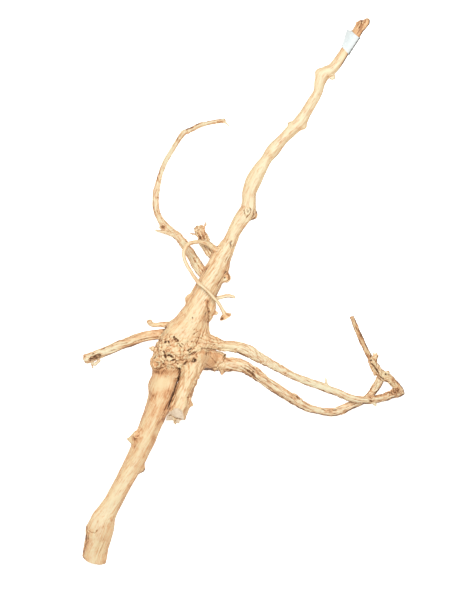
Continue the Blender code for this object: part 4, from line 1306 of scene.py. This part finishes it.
def face_nodes(skin, limbs):
    """The number of the node that each face belongs to."""
    trunk = limbs["trunk"]
    first = trunk.along[trunk.marks[len(MAIN_ROOT) - 1]]
    last = trunk.along[trunk.marks[len(MAIN_ROOT) + len(CROWN_CORE)]]
    root, crown, stem = (NODES.index(name) for name in ("main_root", "root_crown", "main_stem"))
    node = np.zeros(len(skin.points), int)
    for name, limb in limbs.items():
        mine = skin.limb == limb_number(name)
        if name == "trunk":
            node[mine] = crown
            node[mine & (skin.along < first)] = root
            node[mine & (skin.along > last)] = stem
            continue
        node[mine] = NODES.index("curled_branch" if name == "curl_spur" else name)
        if name in FORK:
            node[mine & (skin.along < limb.along[limb.marks[FORK[name]]])] = crown
    return np.sort(node[skin.faces], axis=1)[:, 1]


def build_piece(name, skin, faces, finish):
    """One node's share of the skin, closed where it was divided from its neighbours."""
    used, local = np.unique(faces, return_inverse=True)
    local = local.reshape(faces.shape)
    mesh = bpy.data.meshes.new(name)
    mesh.from_pydata((skin.points[used] * MM).tolist(), [], local.tolist())
    for mark, values in skin.marks.items():
        layer = mesh.attributes.new(mark, "FLOAT", "POINT")
        layer.data.foreach_set("value", values[used].astype(np.float32))
    layer = mesh.attributes.new("grain", "FLOAT_VECTOR", "POINT")
    layer.data.foreach_set("vector", (skin.grain[used] * MM).astype(np.float32).ravel())
    bm = bmesh.new()
    bm.from_mesh(mesh)
    rim = [edge for edge in bm.edges if edge.is_boundary]
    if rim:
        closed = bmesh.ops.holes_fill(bm, edges=rim, sides=0)
        bmesh.ops.triangulate(bm, faces=closed["faces"])
    bm.to_mesh(mesh)
    bm.free()
    mesh.shade_smooth()
    mesh.normals_split_custom_set_from_vertices(skin.normals[used].tolist())
    mesh.materials.append(finish)
    return add_object(name, mesh)


# Finishes


class Value:
    """A number that varies over a surface. Arithmetic on it adds Math nodes."""

    def __init__(self, finish, socket):
        self.finish = finish
        self.socket = socket

    def math(self, operation, first, second):
        return self.finish.node("ShaderNodeMath", {"operation": operation}, {0: first, 1: second})

    def __add__(self, other):
        return self.math("ADD", self, other)

    def __mul__(self, other):
        return self.math("MULTIPLY", self, other)

    def __sub__(self, other):
        return self.math("SUBTRACT", self, other)

    def __rsub__(self, other):
        return self.math("SUBTRACT", other, self)

    __radd__ = __add__
    __rmul__ = __mul__


class Finish:
    """A material and the means to lay nodes in it."""

    def __init__(self, name):
        self.material = bpy.data.materials.new(name)
        self.material.use_nodes = True
        self.tree = self.material.node_tree
        self.shader = self.tree.nodes["Principled BSDF"]

    def node(self, kind, settings=None, inputs=None, output=0):
        """A node of this type, with its settings made first and its sockets fed with values or links."""
        made = self.tree.nodes.new(kind)
        for key, value in (settings or {}).items():
            if key == "stops":
                lay_stops(made.color_ramp, value)
            else:
                setattr(made, key, value)
        for key, value in (inputs or {}).items():
            self.feed(made.inputs[key], value)
        return Value(self, made.outputs[output])

    def feed(self, socket, value):
        if isinstance(value, Value):
            self.tree.links.new(value.socket, socket)
        else:
            socket.default_value = value

    def shade(self, socket, value):
        """Feeds one of the shader's own sockets."""
        self.feed(self.shader.inputs[socket], value)

    def bump(self, strength, distance, height):
        """Fine relief that the light sees."""
        inputs = {"Strength": strength, "Distance": distance, "Height": height}
        self.shade("Normal", self.node("ShaderNodeBump", {}, inputs, output="Normal"))

    def mark(self, name):
        return self.node("ShaderNodeAttribute", {"attribute_name": name}, output="Fac")

    def mix(self, share, first, second, blend="MIX"):
        """From the first colour to the second, or to the product of both."""
        settings = {"data_type": "RGBA", "blend_type": blend, "clamp_factor": True}
        inputs = {0: share, 6: colour(first), 7: colour(second)}
        return self.node("ShaderNodeMix", settings, inputs, output=2)

    def noise(self, place, scale, detail, roughness):
        """Noise round 0 with this many waves to the metre."""
        inputs = {"Vector": place, "Scale": scale, "Detail": detail, "Roughness": roughness}
        return self.node("ShaderNodeTexNoise", {}, inputs) - 0.5

    def ramp(self, value, start, end):
        """0 where the value is start and 1 where it is end."""
        settings = {"interpolation_type": "SMOOTHSTEP"}
        return self.node("ShaderNodeMapRange", settings, {0: value, 1: start, 2: end, 3: 0.0, 4: 1.0})


def colour(value):
    return value if isinstance(value, Value) else (*value, 1.0)


def lay_stops(stops, wanted):
    while len(stops.elements) < len(wanted):
        stops.elements.new(1.0)
    for element, (place, shade) in zip(stops.elements, wanted):
        element.position = place
        element.color = (*shade, 1.0)


# Shades of the wood from its cracks to its palest streaks, as stops of a ramp

WOOD_SHADES = [
    (0.0, (0.20, 0.105, 0.050)),
    (0.25, (0.42, 0.245, 0.130)),
    (0.45, (0.50, 0.335, 0.195)),
    (0.62, (0.545, 0.405, 0.258)),
    (0.80, (0.565, 0.475, 0.320)),
    (1.0, (0.580, 0.535, 0.375)),
]
WARMTH = (1.0, 0.84, 0.70)
CRACK_SHADE = (0.05, 0.024, 0.012)
SAWN = (0.64, 0.53, 0.40)
SAWN_DARK = (0.45, 0.33, 0.22)
GRAIN_STRETCH = (1, 1, 0.11)
# Waves in the colour and the fine relief: how many to the metre, their detail and their roughness
STREAKS = (560, 3, 0.6)
FIBRES = (1000, 2, 0.7)
CLOUDS = (130, 4, 0.6)
TOOTH = (700, 2, 0.6)

PAPER = ((0.535, 0.57, 0.57), (0.48, 0.525, 0.53))
PAPER_SHADE = (0.10, 0.105, 0.10)


def peeled_wood():
    """Dry root wood without its bark: cream streaks and grey saw cuts, with painted shade that makes flutes
    and flanks tan and cracks dark brown.
    """
    finish = Finish("peeled_wood")
    grain = finish.node("ShaderNodeAttribute", {"attribute_name": "grain"}, output="Vector")
    along = finish.node("ShaderNodeMapping", {}, {"Vector": grain, "Scale": GRAIN_STRETCH})
    streaks = finish.noise(along, *STREAKS)
    fibres = finish.noise(along, *FIBRES)
    clouds = finish.noise(grain, *CLOUDS)
    tooth = finish.noise(grain, *TOOTH)
    sawn = finish.mark("sawn")

    tone = 0.82 + finish.mark("tone") + (streaks * 1.5 + fibres * 2.2) * finish.mark("figure") + clouds * 1.2
    # Painted highlight on ridges, painted shade in grooves and on the flanks
    tone = tone + finish.mark("ridge") * 0.2 - finish.mark("groove") * 0.42 - finish.mark("flank") * 0.34
    wood = finish.node("ShaderNodeValToRGB", {"stops": WOOD_SHADES}, {"Fac": tone}, output="Color")
    # warm: each limb's own colour and its stains, with the warmer painted shade of the flanks
    wood = finish.mix(finish.mark("warm") + clouds * 0.9, wood, WARMTH, "MULTIPLY")
    wood = finish.mix(sawn, wood, finish.mix(0.6 + tooth * 2.0 + clouds * 2.5, SAWN_DARK, SAWN))
    # Painted shade: holes, creases and pits are painted nearly black
    finish.shade("Base Color", finish.mix(finish.mark("deep"), wood, CRACK_SHADE))
    finish.shade("Roughness", 0.66 + streaks * 0.2 + sawn * 0.15)
    finish.shade("Specular IOR Level", 0.3)
    finish.bump(0.6, 0.0012, streaks * 0.6 + fibres * 0.3 + tooth * 0.3)
    return finish.material


def tag_paper():
    """White tag paper with faint fibres, and painted shade on the side that faces lower right."""
    finish = Finish("tag_paper")
    place = finish.node("ShaderNodeTexCoord", output="Object")
    clouds = finish.node("ShaderNodeTexNoise", {}, {"Vector": place, "Scale": 160.0, "Detail": 4.0})
    fibres = finish.node("ShaderNodeTexNoise", {}, {"Vector": place, "Scale": 2600.0, "Detail": 3.0})
    white = finish.mix(finish.ramp(clouds, 0.35, 0.75), *PAPER)
    finish.shade("Base Color", finish.mix(finish.mark("soiled"), white, PAPER_SHADE))
    finish.shade("Roughness", 0.7 + fibres * 0.15)
    finish.bump(0.2, 0.0002, fibres)
    return finish.material


# The paper tag


def tag_angles():
    """The angles of the sleeve's corners, set closer where the flap stands."""
    even = [TAU * k / TAG_SIDES for k in range(TAG_SIDES)]
    clear = [angle for angle in even if abs(angle - TAG_FLAP_ANGLE) > TAG_FLAP_ROOT + math.radians(1)]
    tips = (-TAG_FLAP_ROOT, -TAG_FLAP_HALF * 0.35, TAG_FLAP_HALF * 0.35, TAG_FLAP_ROOT)
    return sorted(clear + [TAG_FLAP_ANGLE + tip for tip in tips])


def tag_corner(trunk, along, share, angle, layer):
    """A corner of the sleeve at this share of its length: on its inside for layer 0, outside for layer 1."""
    off = angle - TAG_FLAP_ANGLE
    slant = TAG_SLANT[0] + (TAG_SLANT[1] - TAG_SLANT[0]) * share
    at = along + slant * (1 + math.cos(off)) / 2
    centre, side, up = (
        np.array([np.interp(at, trunk.along, column) for column in rows.T])
        for rows in (trunk.centre, trunk.side, trunk.up)
    )
    way = side * math.cos(angle) + up * math.sin(angle)
    crease = TAG_CREASE * math.sin(3.1 * angle + 0.5 * at) * math.sin(0.9 * at + 2 * angle)
    loose = TAG_LOOSE * (2 * share - 1) ** 4
    reach = float(trunk.reach(at, angle)) + TAG_CLEARANCE + TAG_SLACK + crease + loose
    flap = TAG_FLAP * (0.1 + 0.9 * share) if abs(off) < TAG_FLAP_HALF * 0.5 else 0
    curl = flap * 0.12 * (share - 0.5)
    reach += layer * (TAG_THICKNESS * 0.6 + flap)
    return centre + way * reach + up * curl * layer


def tag_faces(count):
    """The sleeve's outer and inner faces, ring by ring, and then its two edges."""
    faces, step = [], 2 * count
    pairs = [(k, (k + 1) % count) for k in range(count)]
    for inner in range(0, TAG_RINGS * step, step):
        outer = inner + count
        for k, j in pairs:
            faces.append((outer + j, outer + k, outer + step + k, outer + step + j))
            faces.append((inner + k, inner + j, inner + step + j, inner + step + k))
    for inner, turn in ((0, -1), (TAG_RINGS * step, 1)):
        outer = inner + count
        faces += [(inner + k, inner + j, outer + j, outer + k)[::turn] for k, j in pairs]
    return faces


def build_tag(trunk, finish):
    """The tag: a thin sleeve round the stem, with a flap where its two ends are pressed together."""
    low, high = (int(np.argmin(np.hypot(*(trunk.centre[:, :2] - place).T))) for place in TAG_STATIONS)
    angles = tag_angles()
    points = []
    for share in (i / TAG_RINGS for i in range(TAG_RINGS + 1)):
        along = trunk.along[low] + (trunk.along[high] - trunk.along[low]) * share
        points += [tag_corner(trunk, along, share, angle, layer) for layer in (0, 1) for angle in angles]
    mesh = bpy.data.meshes.new("tag_sleeve")
    mesh.from_pydata((np.array(points) * MM).tolist(), [], tag_faces(len(angles)))
    # Painted shade on the sleeve's side that faces lower right
    soiled = mesh.attributes.new("soiled", "FLOAT", "POINT")
    for number, corner in enumerate(mesh.vertices):
        soiled.data[number].value = float(ramp(corner.normal.dot(TAG_SHADED_SIDE), 0.6, 0.88))
    mesh.shade_smooth()
    mesh.set_sharp_from_angle(angle=math.radians(50))
    mesh.materials.append(finish)
    return add_object("tag_sleeve", mesh)


# The table, the light and the camera


def lay_floor():
    mesh = bpy.data.meshes.new("table_top")
    corners = [(x * FLOOR_HALF, y * FLOOR_HALF, 0) for x, y in ((-1, -1), (1, -1), (1, 1), (-1, 1))]
    mesh.from_pydata(corners, [], [(0, 1, 2, 3)])
    finish = Finish("white_table")
    place = finish.node("ShaderNodeTexCoord", output="Object")
    cloud = finish.node("ShaderNodeTexNoise", {}, {"Vector": place, "Scale": 3.0})
    finish.shade("Base Color", finish.mix(cloud, *FLOOR_SHADES))
    finish.shade("Roughness", 0.9)
    finish.shade("Specular IOR Level", 0.0)
    finish.shade("Emission Color", FLOOR_GLOW_COLOUR)
    finish.shade("Emission Strength", FLOOR_GLOW)
    mesh.materials.append(finish.material)
    floor = add_object("table_top", mesh)


def set_light():
    world = bpy.data.worlds.new("soft_room")
    world.use_nodes = True
    back = world.node_tree.nodes["Background"]
    back.inputs["Color"].default_value = ROOM_COLOUR
    back.inputs["Strength"].default_value = ROOM_LIGHT
    bpy.context.scene.world = world
    bpy.context.scene.view_settings.view_transform = "Standard"
    lamp = bpy.data.lights.new("window_light", "AREA")
    lamp.shape = "DISK"
    lamp.size = WINDOW_SIZE
    lamp.energy = WINDOW_POWER
    window = add_object("window_light", lamp)
    window.location = WINDOW_PLACE
    window.rotation_mode = "QUATERNION"
    window.rotation_quaternion = (Vector(WINDOW_TARGET) - Vector(WINDOW_PLACE)).to_track_quat("-Z", "Y")


def set_camera():
    """Straight above the wood and far off, so that 1 mm at half its height is one unit of the plan."""
    camera = bpy.data.cameras.new("camera")
    camera.sensor_width = CAMERA_SENSOR
    camera.lens = CAMERA_SENSOR * CAMERA_ABOVE / PLAN_LENGTH
    camera.clip_end = CAMERA_END
    placed = add_object("camera", camera)
    placed.location = [length * MM for length in (*PLAN_MIDDLE, PLAN_HEIGHT + CAMERA_ABOVE)]
    bpy.context.scene.camera = placed


def main():
    set_camera()
    set_light()
    lay_floor()
    limbs = {name: Limb(stations, seed) for name, (stations, seed, *_) in LIMBS.items()}
    wood = join_limbs(limbs)
    add_pad(wood)
    add_stubs(wood, limbs)
    raise_ridges(wood)
    holes, creases = place_holes(wood), place_lines(wood, CREASES)
    carve(wood, holes, creases)
    skin = Skin(wood, limbs)
    press_relief(skin, wood, holes, creases)
    finish = peeled_wood()
    nodes = face_nodes(skin, limbs)
    for number, name in enumerate(NODES):
        piece = build_piece(name + "_wood", skin, skin.faces[nodes == number], finish)
        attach(piece, "root")
        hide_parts(name)
    tag = build_tag(limbs["trunk"], tag_paper())
    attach(tag, "root")
    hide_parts("paper_tag")


main()
